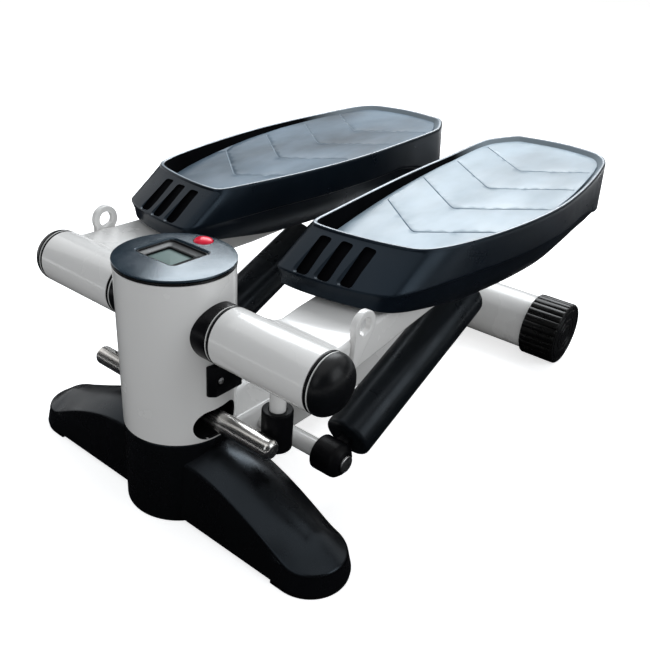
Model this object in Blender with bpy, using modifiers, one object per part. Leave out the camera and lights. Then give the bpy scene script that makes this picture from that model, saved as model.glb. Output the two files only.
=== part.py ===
# Mini stepper: two coupled rocker arms on one cross axle, each with a foot tray and a damper.
# Metres, +Z up. The front of the machine, with its column and counter, faces -Y. The user stands
# on the trays and faces the column, so the user's left is +X.
import math

import bmesh
import bpy
from mathutils import Matrix, Vector
from mathutils.geometry import interpolate_bezier

MM = 0.001
SIDES = (("left", 1), ("right", -1))
STEPS = 20
FINE_STEPS = 40
FEW_STEPS = 12

# Clearances
GAP = 0.3 * MM
RUN_GAP = 0.3 * MM
EDGE = 1 * MM

# Column
COLUMN_R = 38 * MM
COLUMN_WALL = 2 * MM
COLUMN_TOP = 175.1 * MM
COLUMN_BOTTOM = 63.1 * MM
CORE_R = 34 * MM
CORE_WALL = 2.5 * MM
CORE_BOTTOM = 14 * MM
CORE_PLUG = 6 * MM
WELD_RING = 1.3 * MM

# Rear of the frame
BEAM_SIDE = 40 * MM
BEAM_WALL = 2 * MM
REAR_Y = 379 * MM
REAR_Z = 30.2 * MM
REAR_R = 26.7 * MM
REAR_WALL = 2 * MM
REAR_HALF = 118 * MM
CAP_R = 30.2 * MM
CAP_GRIP = 27.9 * MM
CAP_END = 6.5 * MM
CAP_RIBS = 26
CAP_RIB_DEPTH = 1.3 * MM

# Front foot
BOSS_R = 38.9 * MM
BOSS_WALL = 4.4 * MM
BOSS_TOP_PLATE = 3.5 * MM
FOOT_HALF = 143.5 * MM
FOOT_DEPTH = 48 * MM
FOOT_WALL = 3.5 * MM
FOOT_CLEAR = 4 * MM
FOOT_FLARE = 3 * MM
BOSS_CLEAR = 0.6 * MM
TIP_CREASE_Z = 17 * MM
ROOT_CREASE_Z = 48 * MM
CREASE_POWER = 1.7
CROWN = 9 * MM
TIP_FILL = 4 * MM
TIP_SPREAD = 18 * MM
CREASE_BLEND = 5 * MM
PAD_INNER_X = 110 * MM
PAD_SPIGOT = 6 * MM
FOOT_WEB = 4 * MM
BEAM_CLEAR = 2 * MM
FOOT_BOLT_R = 4 * MM
FOOT_BOLT_HEAD_R = 8 * MM

# Arms
PIVOT_Z = 141.2 * MM
AXLE_R = 10 * MM
ARM_TUBE_R = 19 * MM
ARM_TUBE_WALL = 2.5 * MM
ARM_TUBE_IN = 48.2 * MM
ARM_TUBE_OUT = 120.4 * MM
ARM_TILT = math.radians(2.3)
BOX_WIDTH = 49 * MM
BOX_TOP = 13.8 * MM
BOX_HEIGHT = 25 * MM
BOX_LINE = (
    (0, 95.2 * MM), (19 * MM, 94.8 * MM), (37 * MM, 92.2 * MM), (54 * MM, 90.6 * MM), (71 * MM, 89.3 * MM),
    (97 * MM, 86.9 * MM), (132 * MM, 84.2 * MM))
BOX_WALL = 2 * MM
BOX_END = 306 * MM
BUSH_FLANGE = 1.7 * MM
BUSH_DEPTH = 14 * MM
WASHER_T = 0.7 * MM
NUT_R = 12 * MM
NUT_T = 6 * MM
DOME_BULGE = 12.5 * MM
DOME_WALL = 2 * MM
EYE_Y = 35.1 * MM
EYE_Z = 162.5 * MM
EYE_R = 10 * MM
EYE_HOLE_R = 5.5 * MM
EYE_ROOT_X = 115.8 * MM
EYE_PLATE = 5.2 * MM
EYE_STEM = 16 * MM

# Rocker bar and the push posts behind it
ROCKER_Z = 75.1 * MM
ROCKER_R = 7 * MM
ROCKER_HALF = 85.8 * MM
ROCKER_CHAMFER = 2.4 * MM
HUB_R = 12 * MM
HUB_HEIGHT = 20 * MM
PIN_R = 5 * MM
SLOT_HALF = 18.5 * MM
SLOT_R = 10.6 * MM
BRACKET_Z = 88.5 * MM
BRACKET_T = 4 * MM
POST_X = 72.5 * MM
POST_R = 5.4 * MM
SLEEVE_R = 10.3 * MM
SLEEVE_TOP = 92.5 * MM
SLEEVE_BOTTOM = 63.5 * MM
SLEEVE_FLOOR = 3 * MM

# Dampers
DAMPER_X = 84.7 * MM
DAMPER_Y = 63.3 * MM
DAMPER_Z = 35.9 * MM
DAMPER_ANGLE = math.radians(24.1)
DAMPER_R = 18 * MM
DAMPER_BORE_R = 15 * MM
DAMPER_FROM = 17.6 * MM
DAMPER_TO = 181 * MM
DAMPER_END = 6 * MM
DAMPER_BEVEL = 2.2 * MM
PIN_FROM_ARM_END = 40 * MM
UPPER_PIN_R = 4 * MM
UPPER_PIN_HEAD = 3 * MM
UPPER_PIN_PLAY = 3.2 * MM
ROD_R = 5 * MM
PISTON_AT = 75 * MM
PISTON_T = 12 * MM
ROD_EYE_WALL = 3.2 * MM
ROD_EYE_WIDTH = 12 * MM
EAR_T = 4 * MM
LOWER_EYE_R = 13 * MM
LOWER_EYE_IN = 10.6 * MM
LOWER_EYE_OUT = 11.7 * MM
LOWER_EYE_CONE = 4.2 * MM
LOWER_EYE_BEVEL = 1.2 * MM
STEM_R = 5 * MM
SPINDLE_R = 5.5 * MM
SPINDLE_PROUD = 2 * MM
SPINDLE_HEAD_R = 6.4 * MM
CROSSBAR_R = 7 * MM

# Foot trays, in the tilted plane of the arm: s along it from the pivot, h above it
TRAY_X = 84.2 * MM
TRAY_MID_S = 228 * MM
TRAY_HALF_LENGTH = 150 * MM
TRAY_HALF_WIDTH = 62.5 * MM
RIM_MID_H = 47 * MM
RIM_RISE = 3 * MM
RIM_EDGE = 3.2 * MM
BAND_DEPTH = 22 * MM
BAND_FLARE = 1.5 * MM
TOE_BAND_TRIM = 1 * MM
HEEL_BAND_EXTRA = 20 * MM
TOE_SHARE = 0.4
HEEL_FROM_SHARE = 0.313
HEEL_TO_SHARE = 0.96
TOE_REACH = 30 * MM
LIP_DEPTH = 32 * MM
BELLY_DEPTH = 47.5 * MM
BELLY_INSET = 12 * MM
TRAY_WALL = 3.2 * MM
MAT_T = 3 * MM
MAT_INSET = 6.2 * MM
MAT_TOE_H = 34 * MM
MAT_HEEL_H = 46.2 * MM
SPAN_STEPS = 4
RIB_STATIONS = (135 * MM, BOX_END - 18 * MM)
RIB_T = 14 * MM
RIB_HALF = 12 * MM
TRAY_BOLT_R = 3 * MM
TRAY_BOLT_HEAD_R = 5.5 * MM
TRAY_BOLT_HEAD_T = 4 * MM
TRAY_BOLT_GRIP = 10 * MM
TOE_SLOT_PITCH = 15.6 * MM
TOE_SLOT_SIZE = (8 * MM, 28 * MM)
TOE_SLOT_DEPTH = 2.4 * MM
TOE_SLOT_INWARD = 8 * MM
TOE_SLOT_SHARE = 0.57

# Counter
COVER_R = 38.6 * MM
COVER_TOP = 179.8 * MM
COVER_T = 2.6 * MM
COVER_DOME = 0.8 * MM
SKIRT_R = 35.4 * MM
SKIRT_WALL = 2 * MM
SKIRT_BOTTOM = 158 * MM
RING_T = 1.5 * MM
WINDOW = (36.5 * MM, 31 * MM)
WINDOW_AT = (-5.4 * MM, 2.6 * MM)
BEZEL_EDGE = 1.2 * MM
BEZEL_STEP = 3.4 * MM
BEZEL_DEPTH = 3 * MM
LCD_SIZE = (25 * MM, 22 * MM)
LCD_AT = (-5.6 * MM, 0.2 * MM)
LCD_MARGIN = 1 * MM
BOARD_R = 32.6 * MM
BOARD_POST_R = 2.2 * MM
BOARD_T = 1.6 * MM
BOARD_TOP = 171.5 * MM
CELL_R = 5.8 * MM
CELL_T = 5.4 * MM
CELL_X = -12 * MM
BUTTON_AT = (-5.5 * MM, 28.6 * MM)
BUTTON_R = 6.4 * MM
BUTTON_PROUD = 3 * MM
BUTTON_TRAVEL = 1.5 * MM
BUTTON_LUG = 1 * MM
BUTTON_STEM_R = 2.5 * MM

# Speed sensor on the column
HOUSING_X = 42 * MM
HOUSING_Y = (-6.3 * MM, 17 * MM)
HOUSING_Z = (97.5 * MM, 119.5 * MM)
HOUSING_CHAMFER = 3.4 * MM
SENSOR_SCREW_AT = (-2.6 * MM, 108.8 * MM)
SENSOR_SCREW_R = 0.9 * MM
SENSOR_SCREW_HEAD_R = 2.2 * MM
LEAD_R = 1.2 * MM
LEAD_X = 18 * MM
LEAD_Y = 10 * MM
LEAD_BOW = 23 * MM

# The column stands so that the whole machine is centred on Y = 0
COLUMN_Y = -(REAR_Y + CAP_R - BOSS_R) / 2
BAR_GAP = ROCKER_R + RUN_GAP + SLEEVE_R
CAP_INNER_X = REAR_HALF - CAP_GRIP
CAP_OUTER_X = REAR_HALF + CAP_END
UPPER_PIN_Y = BOX_END - PIN_FROM_ARM_END
UPPER_PIN_AT = (UPPER_PIN_Y - DAMPER_Y) / math.cos(DAMPER_ANGLE)
UPPER_PIN_Z = DAMPER_Z + UPPER_PIN_AT * math.sin(DAMPER_ANGLE)
UPPER_EYE_BORE = UPPER_PIN_R + UPPER_PIN_PLAY
UPPER_EYE_R = UPPER_EYE_BORE + ROD_EYE_WALL
RIM_TOE_S = TRAY_MID_S - TRAY_HALF_LENGTH
RIM_HEEL_S = TRAY_MID_S + TRAY_HALF_LENGTH


# Scene, collections and materials

def clear_scene():
    for obj in list(bpy.data.objects):
        bpy.data.objects.remove(obj, do_unlink=True)


def new_collection(name):
    collection = bpy.data.collections.new(name)
    bpy.context.scene.collection.children.link(collection)
    return collection


def new_empty(name, location, parent=None, rotation=(0, 0, 0)):
    empty = bpy.data.objects.new(name, None)
    PARTS.objects.link(empty)
    empty.location = location
    empty.rotation_euler = rotation
    empty.parent = parent
    return empty


def new_material(name, colour, roughness, metallic):
    material = bpy.data.materials.new(name)
    material.use_nodes = True
    shader = material.node_tree.nodes["Principled BSDF"]
    shader.inputs["Base Color"].default_value = (*colour, 1)
    shader.inputs["Roughness"].default_value = roughness
    shader.inputs["Metallic"].default_value = metallic
    return material


FINISHES = {
    "white_paint": ((0.82, 0.82, 0.80), 0.3, 0.0),
    "black_plastic": ((0.018, 0.020, 0.024), 0.45, 0.0),
    "tray_plastic": ((0.022, 0.026, 0.033), 0.5, 0.0),
    "foot_plastic": ((0.010, 0.010, 0.012), 0.4, 0.0),
    "rubber": ((0.012, 0.012, 0.012), 0.7, 0.0),
    "mat_rubber": ((0.42, 0.47, 0.50), 0.45, 0.0),
    "cover_plastic": ((0.07, 0.08, 0.10), 0.35, 0.0),
    "damper_paint": ((0.022, 0.028, 0.034), 0.35, 0.0),
    "chrome": ((0.70, 0.70, 0.70), 0.12, 1.0),
    "zinc": ((0.55, 0.55, 0.55), 0.35, 1.0),
    "lcd_glass": ((0.16, 0.21, 0.18), 0.3, 0.0),
    "circuit_board": ((0.02, 0.12, 0.05), 0.5, 0.0),
    "red_plastic": ((0.75, 0.01, 0.03), 0.25, 0.0),
    "nylon": ((0.80, 0.80, 0.78), 0.5, 0.0),
}


# Building blocks

def add_object(name, mesh, finish, parent, collection=None):
    obj = bpy.data.objects.new(name, mesh)
    (collection or PARTS).objects.link(obj)
    obj.parent = parent
    if finish:
        obj.data.materials.append(new_material(name + "_" + finish, *FINISHES[finish]))
    return obj


def mesh_from(name, bm):
    bmesh.ops.remove_doubles(bm, verts=bm.verts, dist=0.001 * MM)
    bmesh.ops.recalc_face_normals(bm, faces=bm.faces)
    mesh = bpy.data.meshes.new(name)
    bm.to_mesh(mesh)
    bm.free()
    mesh.shade_smooth()
    mesh.set_sharp_from_angle(angle=math.radians(35))
    return mesh


def box_mesh(name, low, high):
    bm = bmesh.new()
    bmesh.ops.create_cube(bm, size=1)
    size = Vector(high) - Vector(low)
    centre = (Vector(high) + Vector(low)) / 2
    bmesh.ops.transform(bm, verts=bm.verts, matrix=Matrix.LocRotScale(centre, None, size))
    return mesh_from(name, bm)


AXES = {
    "X": Matrix.Rotation(math.pi / 2, 4, "Y"),
    "Y": Matrix.Rotation(-math.pi / 2, 4, "X"),
    "Z": Matrix.Identity(4),
}


def rod_mesh(name, radius, start, end, axis="Z", at=(0, 0, 0), steps=STEPS):
    """A cylinder from start to end along an axis through at."""
    bm = bmesh.new()
    place = Matrix.Translation(at) @ AXES[axis] @ Matrix.Translation((0, 0, (start + end) / 2))
    bmesh.ops.create_cone(
        bm, cap_ends=True, segments=steps, radius1=radius, radius2=radius,
        depth=abs(end - start), matrix=place)
    return mesh_from(name, bm)


def turned(name, profile, finish, parent, axis="Z", at=(0, 0, 0), steps=STEPS, collection=None):
    """A closed or axis-to-axis profile of (radius, height) points, turned about an axis through at."""
    closed = profile[0][0] > 0 and profile[-1][0] > 0
    bm = bmesh.new()
    points = [bm.verts.new((r, 0, h)) for r, h in profile]
    for first, second in zip(points, points[1:]):
        bm.edges.new((first, second))
    if closed:
        bm.edges.new((points[-1], points[0]))
    mesh = bpy.data.meshes.new(name)
    bm.to_mesh(mesh)
    bm.free()
    obj = add_object(name, mesh, finish, parent, collection)
    obj.matrix_local = Matrix.Translation(at) @ AXES[axis]
    screw = obj.modifiers.new("turn", "SCREW")
    screw.steps = screw.render_steps = steps
    screw.use_merge_vertices = True
    screw.merge_threshold = 0.00001
    screw.use_smooth_shade = True
    return obj


def ring_profile(inner, outer, low, high, bevel=0.0):
    """A washer or sleeve section, its outer side running down."""
    if bevel:
        return [(outer - bevel, high), (outer, high - bevel), (outer, low + bevel), (outer - bevel, low),
                (inner, low), (inner, high)]
    return [(outer, high), (outer, low), (inner, low), (inner, high)]


def cutter(name, mesh, parent):
    obj = add_object(name, mesh, None, parent, CUTTERS)
    obj.hide_render = True
    obj.display_type = "WIRE"
    return obj


def turned_cutter(name, profile, parent, axis="Z", at=(0, 0, 0), steps=STEPS):
    obj = turned(name, profile, None, parent, axis, at, steps, CUTTERS)
    obj.hide_render = True
    obj.display_type = "WIRE"
    return obj


def boolean(obj, other, operation):
    modifier = obj.modifiers.new(operation.lower() + "_" + other.name, "BOOLEAN")
    modifier.object = other
    modifier.operation = operation
    return obj


def cut(obj, name, mesh, parent=None):
    return boolean(obj, cutter(name, mesh, parent or obj.parent), "DIFFERENCE")


def join(obj, name, mesh, parent=None):
    return boolean(obj, cutter(name, mesh, parent or obj.parent), "UNION")


def loft(bm, rings, closed=False):
    """Faces between rings of equal length; a closed loft joins the last ring to the first."""
    rows = [[bm.verts.new(point) for point in ring] for ring in rings]
    pairs = list(zip(rows, rows[1:]))
    if closed:
        pairs.append((rows[-1], rows[0]))
    for lower, upper in pairs:
        count = len(lower)
        for i in range(count):
            j = (i + 1) % count
            bm.faces.new((lower[i], lower[j], upper[j], upper[i]))
    return rows


def smooth_step(value, start, end):
    t = min(max((value - start) / (end - start), 0), 1)
    return t * t * (3 - 2 * t)


def arc(centre, radius, start, end, steps):
    """Points on an arc in the plane, angles in degrees."""
    angles = [math.radians(start + (end - start) * i / steps) for i in range(steps + 1)]
    return [(centre[0] + radius * math.cos(a), centre[1] + radius * math.sin(a)) for a in angles]


# Fixed frame: column, beam, rear foot

def column():
    """Outer tube, with the narrower core that carries it inside the front foot."""
    tube = add_object(
        "column", rod_mesh("column", COLUMN_R, COLUMN_BOTTOM, COLUMN_TOP), "white_paint", FRAME)
    core_top = COLUMN_BOTTOM + WELD_RING
    inside = COLUMN_R - COLUMN_WALL
    cut(tube, "column_bore", rod_mesh("column_bore", inside, core_top, COLUMN_TOP + CORE_PLUG))
    join(tube, "column_core", rod_mesh("column_core", CORE_R, CORE_BOTTOM, core_top))
    cut(tube, "core_bore", rod_mesh("core_bore", CORE_R - CORE_WALL, CORE_BOTTOM + FOOT_WEB,
        core_top - CORE_PLUG))
    cut(tube, "core_bolt_hole", rod_mesh(
        "core_bolt_hole", FOOT_BOLT_R + GAP, CORE_BOTTOM - FOOT_WEB, CORE_BOTTOM + 2 * FOOT_WEB))
    cut(tube, "column_axle_hole", rod_mesh(
        "column_axle_hole", AXLE_R + GAP, -COLUMN_R - GAP, COLUMN_R + GAP, "X", (0, 0, PIVOT_Z)))
    cut(tube, "column_slots", slot_mesh())
    cut(tube, "rocker_pin_hole", rod_mesh("rocker_pin_hole", PIN_R + GAP, core_top - CORE_PLUG / 2,
        core_top + CORE_PLUG))
    cut(tube, "lead_hole", rod_mesh(
        "lead_hole", LEAD_R + GAP, COLUMN_R - 3 * COLUMN_WALL, COLUMN_R + COLUMN_WALL, "X",
        (0, LEAD_Y, lead_z())))
    cut(tube, "sensor_screw_hole", rod_mesh(
        "sensor_screw_hole", SENSOR_SCREW_R + GAP, COLUMN_R - 3 * COLUMN_WALL, COLUMN_R + COLUMN_WALL, "X",
        (0, *SENSOR_SCREW_AT)))
    return tube


def slot_mesh():
    """The round-ended slots on both sides of the column that let the rocker bar swing."""
    reach = COLUMN_R + COLUMN_WALL
    half = SLOT_HALF - SLOT_R
    outline = arc((half, ROCKER_Z), SLOT_R, -90, 90, 10) + arc((-half, ROCKER_Z), SLOT_R, 90, 270, 10)
    return plate_mesh("column_slots", outline, -reach, reach)


def beam():
    """Square tube from the column's core to the rear tube, notched to both round faces."""
    half = BEAM_SIDE / 2
    front = CORE_R / 2
    rear = REAR_Y - REAR_R / 2
    obj = add_object("main_beam", box_mesh(
        "main_beam", (-half, front, REAR_Z - half), (half, rear, REAR_Z + half)), "white_paint", FRAME)
    inner = half - BEAM_WALL
    cut(obj, "beam_hollow", box_mesh(
        "beam_hollow", (-inner, 0, REAR_Z - inner), (inner, REAR_Y, REAR_Z + inner)))
    cut(obj, "beam_front_notch", rod_mesh(
        "beam_front_notch", CORE_R + GAP, 0, 2 * COLUMN_BOTTOM, steps=FINE_STEPS))
    cut(obj, "beam_rear_notch", rod_mesh(
        "beam_rear_notch", REAR_R + GAP, -BEAM_SIDE, BEAM_SIDE, "X", (0, REAR_Y, REAR_Z), FINE_STEPS))
    cut(obj, "crossbar_hole", rod_mesh(
        "crossbar_hole", CROSSBAR_R + GAP, -BEAM_SIDE, BEAM_SIDE, "X", (0, DAMPER_Y, DAMPER_Z)))
    return obj


def rear_foot():
    """Cross tube with a ribbed rubber cap on each end."""
    at = (0, REAR_Y, REAR_Z)
    turned("rear_tube", ring_profile(REAR_R - REAR_WALL, REAR_R, -REAR_HALF, REAR_HALF),
           "white_paint", FRAME, "X", at, FINE_STEPS)
    for side, sign in SIDES:
        rear_cap("rear_cap_" + side, sign, at)


def rear_cap(name, sign, at):
    """A ribbed cup, with a flat on its lowest side where it meets the floor."""
    bm = bmesh.new()
    count = 2 * CAP_RIBS
    socket = REAR_R + GAP
    flat = math.radians(50)

    def rim(x, radius, ribbed):
        ring = []
        for i in range(count):
            turn = 2 * math.pi * i / count
            up = abs((turn + math.pi / 2 + math.pi) % (2 * math.pi) - math.pi)
            dip = CAP_RIB_DEPTH if ribbed and i % 2 and up > flat else 0
            ring.append((sign * x, (radius - dip) * math.cos(turn), (radius - dip) * math.sin(turn)))
        return ring

    rings = [
        rim(CAP_INNER_X, socket, False),
        rim(CAP_INNER_X, CAP_R - EDGE, False),
        rim(CAP_INNER_X + EDGE, CAP_R, True),
        rim(CAP_OUTER_X - 2 * EDGE, CAP_R, True),
        rim(CAP_OUTER_X, CAP_R - 2 * EDGE, False),
        rim(CAP_OUTER_X, CAP_R / 2, False),
    ]
    inner = [rim(REAR_HALF + GAP, CAP_R / 2, False), rim(REAR_HALF + GAP, socket, False)]
    rows = loft(bm, rings)
    bm.faces.new(rows[-1])
    cup = loft(bm, inner)
    bm.faces.new(cup[0])
    for i in range(count):
        j = (i + 1) % count
        bm.faces.new((cup[1][i], cup[1][j], rows[0][j], rows[0][i]))
    obj = add_object(name, mesh_from(name, bm), "rubber", FRAME)
    obj.location = at
    return obj


# Front foot

def crease_z(x):
    """Height of the edge between the foot's upright wall and its rounded top."""
    tip = FOOT_HALF - FOOT_DEPTH / 2
    inward = tip - abs(x)
    eased = (inward + math.hypot(inward, CREASE_BLEND)) / 2
    along = min(eased / (tip - COLUMN_R), 1)
    return TIP_CREASE_Z + (ROOT_CREASE_Z - TIP_CREASE_Z) * (1 - (1 - along) ** CREASE_POWER)


def crown_rise(x):
    """Rise of the foot's ridge over its crease, a little more at the tips."""
    tip = FOOT_HALF - FOOT_DEPTH / 2
    return CROWN + TIP_FILL * math.exp(-((abs(x) - tip) / TIP_SPREAD) ** 2)


def foot_outline(inset=0.0):
    """Stadium outline of the foot, seen from above, with points along its straight sides too."""
    radius = FOOT_DEPTH / 2
    centre = FOOT_HALF - radius
    straight = 10
    points = arc((centre, 0), radius - inset, -90, 90, 10)
    points += [(centre - 2 * centre * i / straight, radius - inset) for i in range(1, straight)]
    points += arc((-centre, 0), radius - inset, 90, 270, 10)
    points += [(-centre + 2 * centre * i / straight, -radius + inset) for i in range(1, straight)]
    return points


def foot_wing_mesh(name, inset, drop, bottom):
    """The long low body of the foot, or its hollow when inset and dropped by the wall."""
    outline = foot_outline(inset)
    tip = FOOT_HALF - FOOT_DEPTH / 2
    flared = foot_outline(inset - FOOT_FLARE)
    rings = [[(x, y, bottom) for x, y in flared], [(x, y, crease_z(x) - drop) for x, y in outline]]
    for share in (0.25, 0.6, 1.0):
        ring = []
        for x, y in outline:
            spine = min(max(x, -tip), tip)
            px = x + (spine - x) * share
            rise = crown_rise(px) * math.sin(share * math.pi / 2)
            ring.append((px, y * (1 - share), crease_z(px) + rise - drop))
        rings.append(ring)
    bm = bmesh.new()
    rows = loft(bm, rings)
    bm.faces.new(rows[0])
    bmesh.ops.remove_doubles(bm, verts=bm.verts, dist=0.01 * MM)
    bmesh.ops.holes_fill(bm, edges=bm.edges)
    return mesh_from(name, bm)


def front_foot():
    """Moulded foot: a boss round the column's core and a low wing to each side, hollow below."""
    obj = add_object("front_foot", foot_wing_mesh("front_foot", 0, 0, FOOT_CLEAR), "foot_plastic", FRAME)
    top = COLUMN_BOTTOM - GAP
    boss = turned_cutter("boss", [(0, top), (COLUMN_R, top), (BOSS_R, BOSS_CLEAR), (0, BOSS_CLEAR)], FRAME,
        steps=FINE_STEPS)
    boolean(obj, boss, "UNION")
    cut(obj, "foot_hollow", foot_wing_mesh("foot_hollow", FOOT_WALL, FOOT_WALL, -FOOT_CLEAR))
    cut(obj, "boss_hollow", rod_mesh("boss_hollow", BOSS_R - BOSS_WALL, -FOOT_CLEAR, top - BOSS_TOP_PLATE))
    cut(obj, "boss_mouth", rod_mesh("boss_mouth", CORE_R + GAP, COLUMN_BOTTOM / 2, COLUMN_BOTTOM + GAP,
        steps=FINE_STEPS))
    half = BEAM_SIDE / 2 + BEAM_CLEAR
    cut(obj, "beam_door", box_mesh("beam_door", (-half, 0, -FOOT_CLEAR), (half, 2 * BOSS_R, REAR_Z + half)))
    web_top = CORE_BOTTOM - GAP
    join(obj, "foot_web", box_mesh(
        "foot_web", (-CORE_R - FOOT_WALL, -FOOT_DEPTH / 2 + FOOT_WALL / 2, web_top - FOOT_WEB),
        (CORE_R + FOOT_WALL, FOOT_BOLT_HEAD_R, web_top)))
    join(obj, "foot_web_tie", box_mesh(
        "foot_web_tie", (-PIN_R, -BOSS_R + BOSS_WALL / 2, web_top - FOOT_WEB), (PIN_R, 0, web_top)))
    cut(obj, "foot_bolt_hole", rod_mesh("foot_bolt_hole", FOOT_BOLT_R + GAP, 0, CORE_BOTTOM))
    return obj


def foot_bolt():
    """Bolt that holds the foot to the column's core from below."""
    seat = CORE_BOTTOM - 2 * GAP - FOOT_WEB
    turned("foot_bolt", [
        (0, CORE_BOTTOM + 2 * FOOT_WEB), (FOOT_BOLT_R, CORE_BOTTOM + 2 * FOOT_WEB), (FOOT_BOLT_R, seat),
        (FOOT_BOLT_HEAD_R, seat), (FOOT_BOLT_HEAD_R, seat - FOOT_WEB), (0, seat - FOOT_WEB)],
        "zinc", FRAME, steps=FEW_STEPS)


def front_pad(side, sign):
    """Rubber pad under one end of the foot, with a spigot up into the hollow."""
    name = "front_pad_" + side
    outline = [(x, y) for x, y in foot_outline(-FOOT_FLARE) if x > PAD_INNER_X]
    plug = [(x, y) for x, y in foot_outline(FOOT_WALL + GAP) if x > PAD_INNER_X]
    obj = add_object(name, prism_mesh(name, with_chord(outline, sign), 0, FOOT_CLEAR - GAP), "rubber", FRAME)
    join(obj, name + "_spigot", prism_mesh(name + "_spigot", with_chord(plug, sign), GAP,
        FOOT_CLEAR + PAD_SPIGOT))
    return obj


def with_chord(points, sign):
    """A round end closed by a straight chord at the pad's inner edge."""
    ys = [y for _, y in points]
    closed = points + [(PAD_INNER_X, max(ys)), (PAD_INNER_X, min(ys))]
    return [(sign * x, y) for x, y in closed]


def prism_mesh(name, outline, low, high):
    bm = bmesh.new()
    rows = loft(bm, [[(x, y, low) for x, y in outline], [(x, y, high) for x, y in outline]])
    bm.faces.new(rows[0])
    bm.faces.new(rows[1])
    return mesh_from(name, bm)


# Cross axle, its seats and its end caps

def axle_parts():
    end = outer_washer_x() + WASHER_T + GAP + NUT_T + GAP
    at = (0, 0, PIVOT_Z)
    turned("pivot_axle", [
        (0, end), (AXLE_R - EDGE, end), (AXLE_R, end - EDGE), (AXLE_R, EDGE - end), (AXLE_R - EDGE, -end),
        (0, -end)],
        "zinc", FRAME, "X", at)
    for side, sign in SIDES:
        saddle = turned("pivot_spacer_" + side, sided(ring_profile(
            AXLE_R + GAP, ARM_TUBE_R, COLUMN_R / 2, inner_washer_x() - GAP), sign), "black_plastic", FRAME,
            "X", at)
        cut(saddle, "spacer_notch_" + side, rod_mesh(
            "spacer_notch", COLUMN_R + GAP, PIVOT_Z - COLUMN_R, PIVOT_Z + COLUMN_R, steps=FINE_STEPS))
        washer(side, sign, "inner", inner_washer_x())
        washer(side, sign, "outer", outer_washer_x())
        nut(side, sign)
        dome(side, sign)


def inner_washer_x():
    return ARM_TUBE_IN - BUSH_FLANGE - 2 * GAP - WASHER_T


def outer_washer_x():
    return ARM_TUBE_OUT + BUSH_FLANGE + 2 * GAP


def sided(profile, sign):
    """Mirrors a profile along its axis, and turns its order round so that it still runs down outside."""
    if sign > 0:
        return profile
    return [(r, -h) for r, h in reversed(profile)]


def washer(side, sign, where, start):
    turned("thrust_washer_" + where + "_" + side, sided(ring_profile(
        AXLE_R + GAP, ARM_TUBE_R - GAP, start, start + WASHER_T), sign),
        "nylon", FRAME, "X", (0, 0, PIVOT_Z))


def nut(side, sign):
    start = outer_washer_x() + WASHER_T + GAP
    turned("axle_nut_" + side, sided(ring_profile(AXLE_R + GAP, NUT_R, start, start + NUT_T), sign),
           "zinc", FRAME, "X", (0, 0, PIVOT_Z))


def dome(side, sign):
    """Domed cover over the axle's nut."""
    start = outer_washer_x() + WASHER_T + GAP
    skin = [(ARM_TUBE_R * math.sin(a), start + DOME_BULGE * math.cos(a)) for a in quarter(5)]
    inside = ARM_TUBE_R - DOME_WALL
    lining = [(inside * math.sin(a),
        start + (DOME_BULGE - DOME_WALL) * math.cos(a)) for a in reversed(quarter(4))]
    turned("axle_dome_" + side, sided(skin + lining, sign), "black_plastic", FRAME, "X", (0, 0, PIVOT_Z))


def quarter(steps):
    return [math.pi / 2 * i / steps for i in range(steps + 1)]


# Arms

def arm(side, sign, pivot, deck):
    """Welded arm: cross tube, box arm, band eye, push post and the ears for the damper's upper pin."""
    name = "arm_" + side
    tube = add_object(name, rod_mesh(
        name, ARM_TUBE_R, sign * ARM_TUBE_IN, sign * ARM_TUBE_OUT, "X"), "white_paint", pivot)
    bottom = BOX_TOP - BOX_HEIGHT
    join(tube, name + "_box", arm_box_mesh(name + "_box", sign, 0, BOX_END, 0), deck)
    join(tube, name + "_post", rod_mesh(
        name + "_post", POST_R, post_bottom() - PIVOT_Z, -ARM_TUBE_R / 2, "Z", (sign * POST_X, BAR_GAP, 0),
        FEW_STEPS))
    join(tube, name + "_eye", band_eye_mesh(name + "_eye", sign))
    cut(tube, name + "_eye_hole", band_eye_hole_mesh(name + "_eye_hole", sign))
    for ear in (-1, 1):
        join(tube, name + "_ear" + ("_in" if ear < 0 else "_out"), ear_mesh(name, sign * DAMPER_X, ear),
            pivot)
    reach = ROD_EYE_WIDTH / 2 + EAR_T + BOX_WALL
    cut(tube, name + "_pin_hole", rod_mesh(
        name + "_pin_hole", UPPER_PIN_R + GAP, -reach, reach, "X",
        (sign * DAMPER_X, UPPER_PIN_Y, UPPER_PIN_Z - PIVOT_Z), FEW_STEPS))
    cut(tube, name + "_bore", rod_mesh(
        name + "_bore", ARM_TUBE_R - ARM_TUBE_WALL, sign * (ARM_TUBE_IN - EDGE),
        sign * (ARM_TUBE_OUT + EDGE), "X"))
    cut(tube, name + "_hollow", arm_box_mesh(
        name + "_hollow", sign, ARM_TUBE_R, BOX_END + BOX_WALL, BOX_WALL), deck)
    for i, station in enumerate(RIB_STATIONS):
        cut(tube, name + "_hole_%d" % i, rod_mesh(
            name + "_hole", TRAY_BOLT_R + GAP, bottom - BOX_WALL, BOX_TOP + BOX_WALL, "Z",
            (sign * box_middle(station), station, 0), FEW_STEPS), deck)
    return tube


def box_middle(s):
    """Middle of the box arm at a distance s along it: it is drawn inward, to run under the tray's middle."""
    for (s0, x0), (s1, x1) in zip(BOX_LINE, BOX_LINE[1:]):
        if s <= s1:
            return x0 + (x1 - x0) * (s - s0) / (s1 - s0)
    return BOX_LINE[-1][1]


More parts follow.
